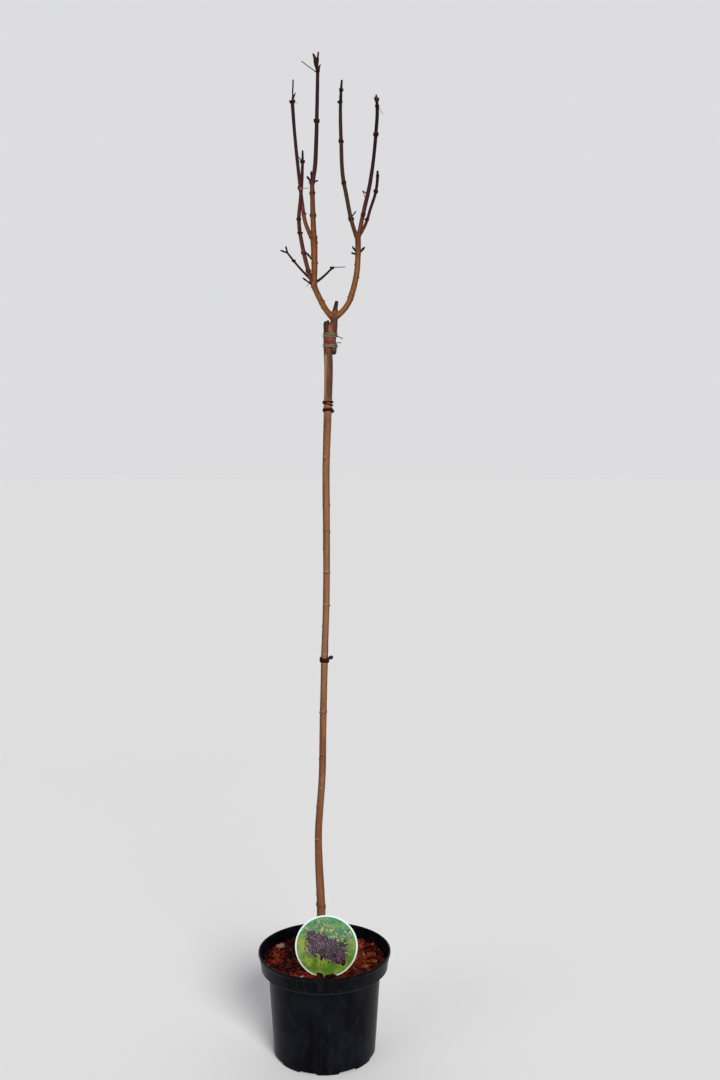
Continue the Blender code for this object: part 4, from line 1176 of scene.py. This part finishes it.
# Ties: turns as (height, tilt in degrees, how far its left side hangs, half width), how thin the
# front is drawn, how far out the tube lies, and a knot as offset, size and lean
TIES = {
    "tie_upper": dict(
        turns=((1.266, 4, 0.0006, 0.0022), (1.2616, 14, -0.0002, 0.0022)), front=0.5, out=0.25,
        knot=None,
    ),
    "tie_middle": dict(
        turns=((1.2524, -3, 0.0, 0.0017), (1.2498, -4, 0.0004, 0.0018)), front=0.72, out=0.45,
        knot=((0.0022, -0.0014, 1.2482), 0.0031, -20),
    ),
    "tie_lower": dict(
        turns=((0.7765, 2, -0.0014, 0.0018), (0.7738, 4, -0.0004, 0.0019), (0.7712, 6, 0.0006, 0.0016)),
        front=0.85, out=0.55, knot=((0.0056, -0.0012, 0.7792), 0.0042, 30),
    ),
}
TIE_SIDES = 12
TIE_RING = 0.004
TIE_ROUND = 16
TUBE_LUMPS = 0.00018
TURN_STEPS = 96


def tight_turn(tree, centre, height, tilt, sag, clear):
    """A closed path pulled tight round the wood at a height, tilted and sagging on its left."""
    angles = 2 * np.pi * np.arange(TURN_STEPS) / TURN_STEPS
    rays = np.stack((np.cos(angles), np.sin(angles), 0 * angles), 1)
    lift = -math.tan(math.radians(tilt)) * 0.0075 * rays[:, 0] - sag * np.clip(-rays[:, 0], 0, 1) ** 1.5
    levels = height + lift
    reach = []
    for ray, level in zip(rays, levels):
        start = Vector((centre[0] + 0.05 * ray[0], centre[1] + 0.05 * ray[1], level))
        hit = tree.ray_cast(start, Vector((-ray[0], -ray[1], 0)), 0.05)[3]
        reach.append(0.05 - hit if hit is not None else 0.004)
    flat = rays[:, :2] * np.array(reach)[:, None]
    widest = (flat @ rays[:, :2].T).max(0)
    turned = rays[:, :2] @ rays[:, :2].T
    allowed = np.where(turned > 0.05, widest / np.maximum(turned, 0.05), np.inf).min(1)
    path = np.zeros((TURN_STEPS, 3))
    path[:, :2] = rays[:, :2] * (allowed + clear)[:, None] + np.array(centre)[:2]
    path[:, 2] = levels
    return path


def ring_tube(path, radius, sides, closed=True, lumps=0.0, seed=0):
    """A tube along a path, which joins its own end where it is closed. Its radius is one number
    or one for each point."""
    ends = np.concatenate((path[-1:], path, path[:2])) if closed else path
    skin = lay_skin(ends, np.full(len(ends), 0 if closed else radius), sides)
    outward = skin.outward[1:-2] if closed else skin.outward
    proud = lumps * waves(outward * 1.5 + path[:, None] * 260, 1, seed)
    if not closed:
        close_ends(skin, proud, 0.8 * radius)
        return tube_mesh(skin, proud)
    reach = np.broadcast_to(radius, len(path))[:, None] + proud
    return (path[:, None] + outward * reach[..., None]).reshape(-1, 3), ring_faces(len(path), sides, True)


def plait(path, strand, pitch, closed):
    """The two strands of a twisted twine along a path."""
    skin = lay_skin(path, np.full(len(path), strand), 4)
    across, aside = skin.outward[:, 0], skin.outward[:, 1]
    turns = skin.spans[-1] / pitch
    if closed:
        turns = round(turns)
    phase = 2 * np.pi * turns * skin.spans / skin.spans[-1]
    for start in (0, math.pi):
        offset = across * np.cos(phase + start)[:, None] + aside * np.sin(phase + start)[:, None]
        yield path + 0.85 * strand * offset


def add_knot(pile, spot, size, lean, seed):
    """A small overhand knot: two crossed loops, with a cut end."""
    angles = np.linspace(0, 2 * math.pi, 28, endpoint=False)
    for tilt, shift in ((lean, 0.25), (lean + 80, -0.25)):
        loop = np.stack((
            0.55 * size * np.cos(angles), 0.75 * size * np.sin(angles), shift * size * np.cos(angles)
        ), 1)
        turn = np.array(Matrix.Rotation(math.radians(tilt), 3, "Y") @ Matrix.Rotation(0.5, 3, "X"))
        pile.add(*ring_tube(loop @ turn.T + spot, 0.5 * size, 9, True, 0.05 * size, seed))
    away = compass(-55, 25)
    end = spot + np.outer(np.linspace(0, 1.5 * size, 8), away)
    pile.add(*ring_tube(end, 0.42 * size, 9, False, 0.04 * size, seed + 1))


def make_ties(tree):
    """Wound tubes round the stem, two of them with a knot beside it."""
    skin = limb_skin(TRUNK, TIE_RING, TIE_ROUND)
    tie = plain_look("tie tube", "#2a0f05", 0.6, 900, 0.0002, 0.1)
    knot_look = plain_look("tie knot", "#0a0807", 0.42, 1200, 0.0001, 0.3)
    for name, form in TIES.items():
        pile, seed = Pile(), len(name)
        for height, tilt, sag, half in form["turns"]:
            centre, _, _ = place_at(skin, height)
            path = tight_turn(tree, centre, height, tilt, sag, 0.0)
            sideways = (path - centre)[:, :2] / np.linalg.norm((path - centre)[:, :2], axis=1)[:, None]
            swell = half * (form["front"] + (1 - form["front"]) * np.abs(sideways[:, 0]) ** 1.5)
            path[:, :2] += sideways * (swell * form["out"])[:, None]
            pile.add(*ring_tube(path, swell, TIE_SIDES, True, TUBE_LUMPS, seed))
        if form["knot"]:
            (out, forward, height), size, lean = form["knot"]
            centre, _, radius = place_at(skin, height)
            spot = centre + (radius + out, forward, height - centre[2])
            knot = Pile()
            root = centre + np.array((0.8 * radius, forward, -0.002))
            path = root + np.outer(np.linspace(0, 1, 8), spot - root)
            knot.add(*ring_tube(path, 0.45 * size, 9, False, 0.0001, seed))
            add_knot(knot, spot, size, lean, seed)
            pile.add(np.concatenate(knot.verts), knot.faces, 1)
        pile.make(name, [tie, knot_look], replaces=[name], slot="tie_rubber")


# Twine: heights and tilts of its turns, and loose ends as height, compass turn, rise and length
TWINE = {
    "graft_twine_upper": dict(
        turns=((1.3937, -4), (1.3924, 8), (1.3903, -5), (1.3882, 6), (1.3865, -4)), color="green",
        ends=((1.3925, -38, 50, 0.008), (1.3885, -22, -14, 0.0135), (1.389, 30, 20, 0.006)),
    ),
    "graft_twine_lower": dict(
        turns=((1.3722, 7), (1.3703, -10), (1.3686, 5)), color="pale",
        ends=((1.3765, -30, -48, 0.006), (1.3752, -20, 12, 0.01)),
    ),
}
TWINE_CENTRE = (0.0128, 0.0)
TWINE_KNOT = (0.0262, -0.0045)
STRAND = 0.00052
TWIST = 0.0042


def make_twine(tree):
    """Twisted twine wound round scion and stem, with loose ends and a small knot in front."""
    looks = {
        "green": (("green twine", "#7c7556"), ("green twine end", "#3a4434")),
        "pale": (("pale twine", "#93735b"), ("pale twine end", "#66604f")),
    }
    for name, form in TWINE.items():
        pile = Pile()
        for n, (height, tilt) in enumerate(form["turns"]):
            clear = 1.7 * STRAND + 0.0003 * (n % 2)
            path = tight_turn(tree, TWINE_CENTRE, height, tilt, 0, clear)
            for strand in plait(path, STRAND, TWIST, True):
                pile.add(*ring_tube(strand, STRAND, 6, True, 0.00006, n))
        for n, (height, turn, rise, length) in enumerate(form["ends"]):
            path = tight_turn(tree, TWINE_CENTRE, height, 0, 0, STRAND)
            foot = path[int(round(turn % 360 / 360 * TURN_STEPS)) % TURN_STEPS]
            away, shares = compass(turn, rise), np.linspace(-0.1, 1, 24)
            curl = np.array((0.1, -0.25, -0.22)) * length
            line = foot + np.outer(shares, away) * length + np.outer(shares**2, curl)
            for strand in plait(line, 1.1 * STRAND, TWIST, False):
                pile.add(*ring_tube(strand, 1.1 * STRAND, 6, False, 0.00006, n), 1)
        spot = np.array((*TWINE_KNOT, form["turns"][1][0] - 0.001))
        add_knot(pile, spot, 0.0017, 10, 3)
        made = [plain_look(look, code, 0.9, 2500, 0.0002, 0.2) for look, code in looks[form["color"]]]
        pile.make(name, made, replaces=[name], slot="twine")


# --- Pot ---------------------------------------------------------------------------------------

POT_HEIGHT = 0.202
POT_RADII = (0.099, 0.1095, 0.1225, 0.129)  # of its foot, body, lip band and rim
POT_BAND_FOOT = 0.168
POT_BEAD = 0.001
POT_WALL = 0.0018
POT_LIP = 0.003
POT_INSIDE = 0.15  # where its wall ends, hidden in the compost
DRAINS = 8
DRAIN_TURN = math.radians(-17)
DRAIN_WIDTH = 0.036
DRAIN_HEIGHT = 0.0042
DRAIN_DEPTH = 0.006
POT_SIDES = 288


def rounded(points, reach, steps=4):
    """A profile with each inner corner rounded off over a reach, or less on short edges."""
    points = [np.array(p, float) for p in points]
    made = [points[0]]
    for before, corner, after in zip(points, points[1:], points[2:]):
        into, out = before - corner, after - corner
        near = min(reach, 0.45 * np.linalg.norm(into), 0.45 * np.linalg.norm(out))
        start = corner + into / np.linalg.norm(into) * near
        end = corner + out / np.linalg.norm(out) * near
        for s in np.linspace(0, 1, steps + 1):
            made.append((1 - s) ** 2 * start + 2 * s * (1 - s) * corner + s * s * end)
    return np.array(made + [points[-1]])


def filled_in(profile, longest):
    """The profile with its long edges cut into shorter ones."""
    made = [profile[0]]
    for a, b in zip(profile, profile[1:]):
        count = max(1, math.ceil(np.linalg.norm(b - a) / longest))
        made += [a + (b - a) * s for s in np.linspace(0, 1, count + 1)[1:]]
    return np.array(made)


def pot_outline():
    """The pot's profile as (radius, height): along its underside, up to its lip and down inside."""
    foot, body, band, rim = POT_RADII
    ledge, wall, top = POT_BAND_FOOT, POT_WALL, POT_HEIGHT
    slope = (rim - band) / (top - ledge)
    return [
        (0, 0.0012), (0.02, 0.0012), (0.022, 0.0022), (0.06, 0.0022), (0.064, 0.0),
        (foot - DRAIN_DEPTH, 0), (foot - DRAIN_DEPTH + 0.0002, 0.0), (foot - 0.0004, 0),
        (foot + 0.0001, 0.0024), (foot + 0.0003, 0.005), (body - 0.0006, 0.16),
        (body, ledge - 0.0012), (body + 0.0012, ledge), (band - 0.0006, ledge + 0.0002),
        (band + POT_BEAD, ledge + 0.0012), (band + POT_BEAD, ledge + 0.0034),
        (band + 0.005 * slope, ledge + 0.005), (rim - 0.0016, top - 0.007), (rim, top - 0.0052),
        (rim, top), (rim - POT_LIP, top), (rim - POT_LIP - 0.001, top - 0.005),
        (band - wall, ledge + wall), (body - wall, ledge + wall - 0.001),
        (body - wall - 0.0008, POT_INSIDE), (0.1, POT_INSIDE), (0, POT_INSIDE),
    ]


def make_pot():
    """A blow-moulded nursery pot: rolled rim, lip band with a bead, drains round its foot."""
    profile = filled_in(rounded(pot_outline(), 0.0014), 0.006)
    angles = 2 * np.pi * np.arange(POT_SIDES) / POT_SIDES
    radii = profile[:, :1] + 0 * angles
    levels = profile[:, 1:] + 0 * angles
    turn = (angles + math.pi / 2 - DRAIN_TURN) % (2 * math.pi / DRAINS)
    turn = np.minimum(turn, 2 * math.pi / DRAINS - turn)
    foot = POT_RADII[0]
    inside = 1 - ease(turn * foot, 0.5 * DRAIN_WIDTH - 0.0022, 0.5 * DRAIN_WIDTH)
    drained = (profile[:, :1] > foot - DRAIN_DEPTH + 0.0001) & (profile[:, 1:] < DRAIN_HEIGHT)
    drained &= np.arange(len(profile))[:, None] < len(profile) // 2
    levels = np.where(drained, levels + inside * (DRAIN_HEIGHT - levels), levels)
    wobble = ease(levels, 0.01, 0.05) * (1 - ease(levels, 0.13, 0.165))
    radii = radii + wobble * (0.00035 * np.sin(2 * angles + 0.6) + 0.00015 * np.sin(5 * angles))
    verts = np.stack((radii * np.cos(angles), radii * np.sin(angles), levels), 2)[1:-1]
    faces = ring_faces(len(verts), POT_SIDES)
    faces.append(list(reversed(range(POT_SIDES))))
    faces.append([(len(verts) - 1) * POT_SIDES + side for side in range(POT_SIDES)])
    make_piece("nursery_pot", verts.reshape(-1, 3), faces, [pot_look()], replaces=["pot"],
               slot="pot_plastic", sharp=50)


def pot_look():
    """Black moulded plastic with a soft sheen, fine grain, upright scuffs and a little dust."""
    made, nodes = new_look("pot plastic", 0.34, "#08090d", 0.055)
    streaks, clouds = nodes.noise(60, 5, (1, 1, 0.07)), nodes.noise(14)
    scuffs, mottles = nodes.noise(260, 3, (1, 1, 0.18)), nodes.noise(75, 4, (1, 1, 0.6))
    place = nodes.add("TexCoord").outputs["Object"]
    level = nodes.add("SeparateXYZ", {"Vector": place}).outputs["Z"]
    color = nodes.layers(
        "#020205", (streaks, 0.35, 0.75, 1.0, "#0c0d14"), (clouds, 0.47, 0.72, 0.8, "#171922"),
        (mottles, 0.54, 0.72, 0.5, "#1f2129"), (scuffs, 0.7, 0.76, 0.2, "#3c3e42"),
    )
    # Painted highlight: a paler line along the foot of the lip band, on its bead.
    ledge = POT_BAND_FOOT
    bead = nodes.blend(nodes.span(level, ledge + 0.0026, ledge + 0.005), "#1c1e23", color)
    color = nodes.layers(color, (level, ledge + 0.0002, ledge + 0.0012, 1.0, bead))
    nodes.feed("Base Color", color)
    nodes.feed("Roughness", nodes.span(streaks, 0.3, 0.7, 0.28, 0.42))
    nodes.bump(nodes.noise(1500, 2), 0.12, 0.0003)
    return made


# --- Compost -----------------------------------------------------------------------------------

SOIL_EDGE_DROP = 0.004
SOIL_REACH = 0.1222  # out to the pot's wall
COMPOST_SEED = 606
CHIPS = 1500
CRUMBS = 2600
FIBRES = 220
CHIP_LOOKS = (
    ("#4a0f06", 0.28), ("#641a0a", 0.26), ("#7c2d14", 0.13), ("#170403", 0.25), ("#8d492a", 0.05),
    ("#b58a78", 0.012),
)
DAMP_AND_SHADE_LOOKS = (0, 3)  # the looks that gather where the compost is damp, and toward its left as painted shade
BED_GRID = (46, 150)
BED_DEPTH = 0.02
LARGE_DEPTH = 0.0045
LARGE_RISE = 0.0048
LARGE_TILT = 0.35
# Large flakes that show from a step away: x, y, length, width, turn, look
LARGE_CHIPS = (
    (-0.089, 0.063, 0.021, 0.016, 20, 5), (-0.048, -0.02, 0.022, 0.012, -30, 2),
    (0.088, 0.018, 0.024, 0.011, 35, 2), (0.07, 0.056, 0.018, 0.01, 80, 4),
    (0.08, -0.035, 0.02, 0.01, -15, 4), (-0.085, -0.015, 0.018, 0.011, 60, 1),
    (0.026, 0.07, 0.02, 0.01, 10, 5), (-0.02, 0.085, 0.018, 0.011, -50, 2),
    (0.056, -0.082, 0.02, 0.009, 10, 1), (-0.06, -0.076, 0.019, 0.01, 25, 2),
    (-0.09, 0.045, 0.014, 0.008, 70, 4), (0.098, -0.012, 0.014, 0.008, -40, 4),
)


def soil_height(x, y):
    """The compost's surface: a shallow mound, lumpy with chips."""
    away = math.hypot(x, y) / SOIL_REACH
    lump = noise.noise((x * 60, y * 60, 3.1)) * 0.0022 + noise.noise((x * 160, y * 160, 7.7)) * 0.0012
    return SOIL_LEVEL - SOIL_EDGE_DROP * away**2 + lump - 0.0022


def chip_mesh(rng, length, width, thick):
    """A flake of bark: a ragged slab, split along its grain, thinner at the edges."""
    count = rng.randint(6, 8)
    rim = []
    for n in range(count):
        angle = 2 * math.pi * (n + rng.uniform(-0.25, 0.25)) / count
        stretch = rng.uniform(0.78, 1.08)
        rim.append((0.5 * length * stretch * math.cos(angle), 0.5 * width * stretch * math.sin(angle)))
    bend = rng.uniform(-0.25, 0.25) / length
    rows = ((0.8, 0.5), (1.0, 0.12), (0.94, -0.2), (0.72, -0.5))
    verts = [
        (x * keep, y * keep, level * thick + bend * x * x + rng.uniform(-0.12, 0.12) * thick)
        for keep, level in rows for x, y in rim
    ]
    faces = [list(range(count))]
    faces += [[b, a, d, c] for a, b, c, d in ring_faces(len(rows), count)]
    faces.append([len(verts) - 1 - n for n in range(count)])
    return np.array(verts), faces


def clear_of_plant(x, y, reach):
    """Whether a chip here misses the stem and the label, and lies inside the pot."""
    stem = math.hypot(x + 0.0057, y) > 0.0095 + 0.35 * reach
    label = abs(y + 0.0625) > 0.0025 + 0.3 * reach or abs(x - LABEL_CENTRE[0]) > 0.024 + 0.5 * reach
    return stem and label and math.hypot(x, y) + 0.42 * reach < SOIL_REACH


def polar(away, angle):
    return away * math.cos(angle), away * math.sin(angle)


def anywhere(rng):
    """A seeded spot on the compost."""
    return polar(SOIL_REACH * math.sqrt(rng.random()), rng.uniform(0, 2 * math.pi))


def scatter(pile, rng, count, sizes, widths, depths, rise, tilt):
    """Drops flakes or crumbs on the compost, flat side up, each a little askew."""
    made = 0
    while made < count:
        length = rng.uniform(*sizes) * rng.uniform(0.7, 1.0)
        x, y = anywhere(rng)
        if not clear_of_plant(x, y, length):
            continue
        made += 1
        width, thick = length * rng.uniform(*widths), length * rng.uniform(*depths)
        verts, faces = chip_mesh(rng, length, width, thick)
        turn = Matrix.Rotation(rng.uniform(0, 2 * math.pi), 3, "Z")
        for axis in "XY":
            turn = turn @ Matrix.Rotation(math.radians(rng.uniform(-tilt, tilt)), 3, axis)
        level = soil_height(x, y) + rng.uniform(*rise)
        # Damp patches from noise, and darker toward the left: painted shade.
        damp_and_shade = 1 + 2.4 * noise.noise((x * 34, y * 34, 1.5)) - 5 * x
        weights = [weight * max(damp_and_shade if n in DAMP_AND_SHADE_LOOKS else 2 - damp_and_shade, 0.1)
                   for n, (_, weight) in enumerate(CHIP_LOOKS)]
        look = rng.choices(range(len(CHIP_LOOKS)), weights)[0]
        pile.add(verts @ np.array(turn).T + (x, y, level), faces, look)


def chip_look(number, code):
    """Damp bark, with its grain along the flake's own lie and a few pale splits."""
    color = srgb(code)
    made, nodes = new_look(f"bark chip {number}", 0.7, color, 0.06)
    tone = nodes.noise(340, 4, (1, 1, 0.6))
    darker, lighter = [0.35 * c for c in color], [min(1, 1.7 * c + 0.01) for c in color]
    nodes.feed("Base Color", nodes.layers(
        darker, (tone, 0.3, 0.6, 1.0, color), (tone, 0.6, 0.75, 0.8, lighter)
    ))
    nodes.feed("Roughness", nodes.span(tone, 0.3, 0.7, 0.42, 0.8))
    nodes.bump(nodes.noise(1100), 0.5, 0.0006)
    return made


def make_bed():
    """The compost's lumpy surface, with a skirt down inside the pot."""
    rows, sides = BED_GRID
    verts = [(0, 0, soil_height(0, 0))]
    for row in range(1, rows + 1):
        for side in range(sides):
            x, y = polar(SOIL_REACH * row / rows, 2 * math.pi * side / sides)
            verts.append((x, y, soil_height(x, y)))
    verts += [(0.9 * x, 0.9 * y, SOIL_LEVEL - BED_DEPTH) for x, y, _ in verts[-sides:]]
    faces = [(0, 1 + side, 1 + (side + 1) % sides) for side in range(sides)]
    faces += [(1 + a, 1 + d, 1 + c, 1 + b) for a, b, c, d in ring_faces(rows + 1, sides)]
    faces.append([len(verts) - 1 - side for side in range(sides)])
    bed = plain_look("compost bed", "#120403", 0.95, 700, 0.001, 0.1)
    make_piece("compost_bed", verts, faces, [bed], replaces=["soil"], slot="bark_compost")


def make_chips(rng):
    """Flakes, then the large ones among them, then crumbs."""
    looks = [chip_look(n, code) for n, (code, _) in enumerate(CHIP_LOOKS)]
    chips, crumbs = Pile(), Pile()
    scatter(chips, rng, CHIPS, sizes=(0.007, 0.022), widths=(0.35, 0.75), depths=(0.12, 0.26),
            rise=(0.0, 0.0042), tilt=34)
    for x, y, length, width, turn, look in LARGE_CHIPS:
        verts, faces = chip_mesh(rng, length, width, LARGE_DEPTH)
        spin = Matrix.Rotation(math.radians(turn), 3, "Z") @ Matrix.Rotation(LARGE_TILT, 3, "X")
        chips.add(verts @ np.array(spin).T + (x, y, soil_height(x, y) + LARGE_RISE), faces, look)
    scatter(crumbs, rng, CRUMBS, sizes=(0.002, 0.006), widths=(0.5, 0.95), depths=(0.25, 0.5),
            rise=(0.0006, 0.0046), tilt=50)
    chips.make("bark_chips", looks, slot="bark_compost", sharp=30)
    crumbs.make("compost_crumbs", looks, slot="bark_compost", sharp=30)


def make_fibres(rng):
    fibres, shares, made = Pile(), np.linspace(-0.5, 0.5, 8), 0
    while made < FIBRES:
        (x, y), length = anywhere(rng), rng.uniform(0.006, 0.022)
        if not clear_of_plant(x, y, 1.2 * length):
            continue
        made += 1
        heading = compass(rng.uniform(0, 360), rng.uniform(-4, 16))
        bow = np.array([rng.uniform(-0.2, 0.2) for _ in range(3)]) * length
        foot = np.array((x, y, soil_height(x, y) + rng.uniform(0.002, 0.005)))
        line = foot + np.outer(shares, heading) * length + np.outer(shares**2, bow)
        fibres.add(*ring_tube(line, rng.uniform(0.0002, 0.0005), 5, False))
    fibres.make("compost_fibres", [plain_look("fibre", "#6a3a22", 0.8)], slot="bark_compost")


def make_compost():
    rng = random.Random(COMPOST_SEED)
    make_bed()
    make_chips(rng)
    make_fibres(rng)


# --- Label -------------------------------------------------------------------------------------

LABEL_RADIUS = 0.0595
LABEL_THICKNESS = 0.0008
LABEL_CENTRE = (0.0055, -0.0632, 0.2356)
LABEL_LEAN = math.radians(4)
LABEL_SIDES = 128
# Rings from its front to its back: share of the radius, and depth as a share of the thickness
LABEL_RINGS = (
    (0.55, -0.5), (0.9, -0.5), (0.985, -0.5), (0.998, -0.25), (1.0, 0.0), (0.998, 0.25), (0.985, 0.5),
    (0.55, 0.5),
)
LABEL_FRONT = 3  # how many bands of faces between the rings carry the print


def label_print():
    """A made-up garden pattern: purple tufts in a broad wave over stripes of lawn."""
    made, nodes = new_look("label print", 0.28, "#7fae3a", 0.5)
    nodes.feed("Coat Weight", 0.4)
    nodes.feed("Coat Roughness", 0.12)
    local = nodes.add("Mapping", {
        "Vector": nodes.add("TexCoord").outputs["Object"],
        "Location": [-c / LABEL_RADIUS for c in LABEL_CENTRE],
        "Scale": (1 / LABEL_RADIUS,) * 3,
    }).outputs["Vector"]
    axes = nodes.add("SeparateXYZ", {"Vector": local})
    across, up = axes.outputs["X"], axes.outputs["Z"]

    def times(*values):
        return nodes.maths("MULTIPLY", *values)

    def plus(*values):
        return nodes.maths("ADD", *values)

    def patches(scale, detail=8):
        sockets = {"Vector": local, "Scale": scale, "Detail": detail}
        return nodes.add("TexNoise", sockets).outputs["Fac"]

    def stray(scale, most):
        return times(nodes.maths("SUBTRACT", patches(scale), 0.5), most)

    ripple = times(nodes.maths("SINE", times(across, 3.4)), 0.16)
    ragged = plus(plus(up, ripple), stray(9, 0.75))
    blades = patches(30)
    lawn = nodes.layers("#5a7a24", (patches(3.2, 2), 0.4, 0.6, 1, "#8fa23a"),
                        (blades, 0.42, 0.66, 0.8, "#3a5f2c"))
    hedge = nodes.layers("#2a7a5a", (patches(4, 2), 0.4, 0.6, 1, "#6f9a4c"),
                         (blades, 0.45, 0.62, 0.8, "#1b4f40"))
    belt = times(nodes.span(ragged, 0.3, 0.4), nodes.span(ragged, 0.78, 0.68))
    hedge = nodes.blend(times(nodes.span(patches(17, 4), 0.54, 0.6), belt), hedge, "#c79a5c")
    upright = nodes.add("Mapping", {"Vector": local, "Scale": (1, 1, 0.55)}).outputs["Vector"]
    cells = nodes.add("TexVoronoi", {"Vector": upright, "Scale": 19}).outputs["Distance"]
    tuft = nodes.layers(
        "#a47a9c", (cells, 0.05, 0.5, 1, "#3f2434"), (patches(3, 2), 0.46, 0.66, 1, "#1a1318"),
        (patches(34), 0.46, 0.6, 0.85, "#0d090f"),
    )
    sideways = nodes.maths("ABSOLUTE", plus(across, stray(11, 0.7)))
    inside = times(nodes.span(ragged, -0.46, -0.42), nodes.span(ragged, 0.36, 0.32))
    inside = times(inside, nodes.span(sideways, 0.66, 0.62))
    garden = nodes.blend(inside, nodes.layers(lawn, (ragged, 0.22, 0.34, 1, hedge)), tuft)
    away = nodes.maths("SQRT", plus(times(across, across), times(up, up)))
    rim = nodes.layers("#ece6c6", (up, -0.8, 0.8, 1, "#dff0ea"))
    nodes.feed("Base Color", nodes.layers(
        garden, (away, 0.925, 0.93, 1, "#2f9d86"), (away, 0.952, 0.957, 1, rim)
    ))
    return made


def make_label():
    """A laminated disc with a rounded edge, standing in the compost. Its back is bare."""
    away, depth = np.array(LABEL_RINGS).T[..., None]
    angles = 2 * np.pi * np.arange(LABEL_SIDES) / LABEL_SIDES
    warp = 0.0006 * away**2 * np.cos(2 * angles + 0.8)
    flat = np.stack((
        away * LABEL_RADIUS * np.cos(angles), warp + depth * LABEL_THICKNESS,
        away * LABEL_RADIUS * np.sin(angles),
    ), 2).reshape(-1, 3)
    middles = [(0, depth * LABEL_THICKNESS, 0) for depth in (-0.5, 0.5)]
    lean = np.array(Matrix.Rotation(-LABEL_LEAN, 3, "X"))
    verts = np.concatenate((flat, middles)) @ lean.T + LABEL_CENTRE
    rings = len(LABEL_RINGS)
    faces = [face[:1] + face[:0:-1] for face in capped_faces(rings, LABEL_SIDES)]
    slots = [0] * (LABEL_FRONT * LABEL_SIDES) + [1] * ((rings - 1 - LABEL_FRONT) * LABEL_SIDES)
    back = plain_look("label back", "#e4e5df", 0.35)
    make_piece("picture_label", verts, faces, [label_print(), back], slots + [0, 1] * LABEL_SIDES,
               replaces=["label"], slot="label_card", sharp=40)


# --- The whole plant ---------------------------------------------------------------------------


def tree_of(*objects):
    """A ray-casting tree of the objects' faces, whose objects sit at the origin."""
    verts, faces = [], []
    for obj in objects:
        start = len(verts)
        verts += [vert.co.copy() for vert in obj.data.vertices]
        faces += [[start + v for v in face.vertices] for face in obj.data.polygons]
    return BVHTree.FromPolygons(verts, faces)


make_studio()
mass_skins = {
    name: [limb_skin(limb, SHOOT_RING, SHOOT_SIDES, SHOOT_RISE, FULLER) for limb in mass["limbs"]]
    for name, mass in MASSES.items()
}
stem = make_trunk()
boughs, bough_skins = make_crown_wood(mass_skins)
make_bough_spurs(bough_skins)
scale_looks = edged_looks("bud scale", "#180a09", "#37180f")
dry_stalks = make_masses(mass_skins, scale_looks)
make_swollen_buds(mass_skins, scale_looks)
make_fresh_scar(mass_skins)
make_stalks(mass_skins, dry_stalks)
make_blades(mass_skins)
wood = tree_of(stem, boughs)
make_ties(wood)
make_twine(wood)
make_pot()
make_compost()
make_label()
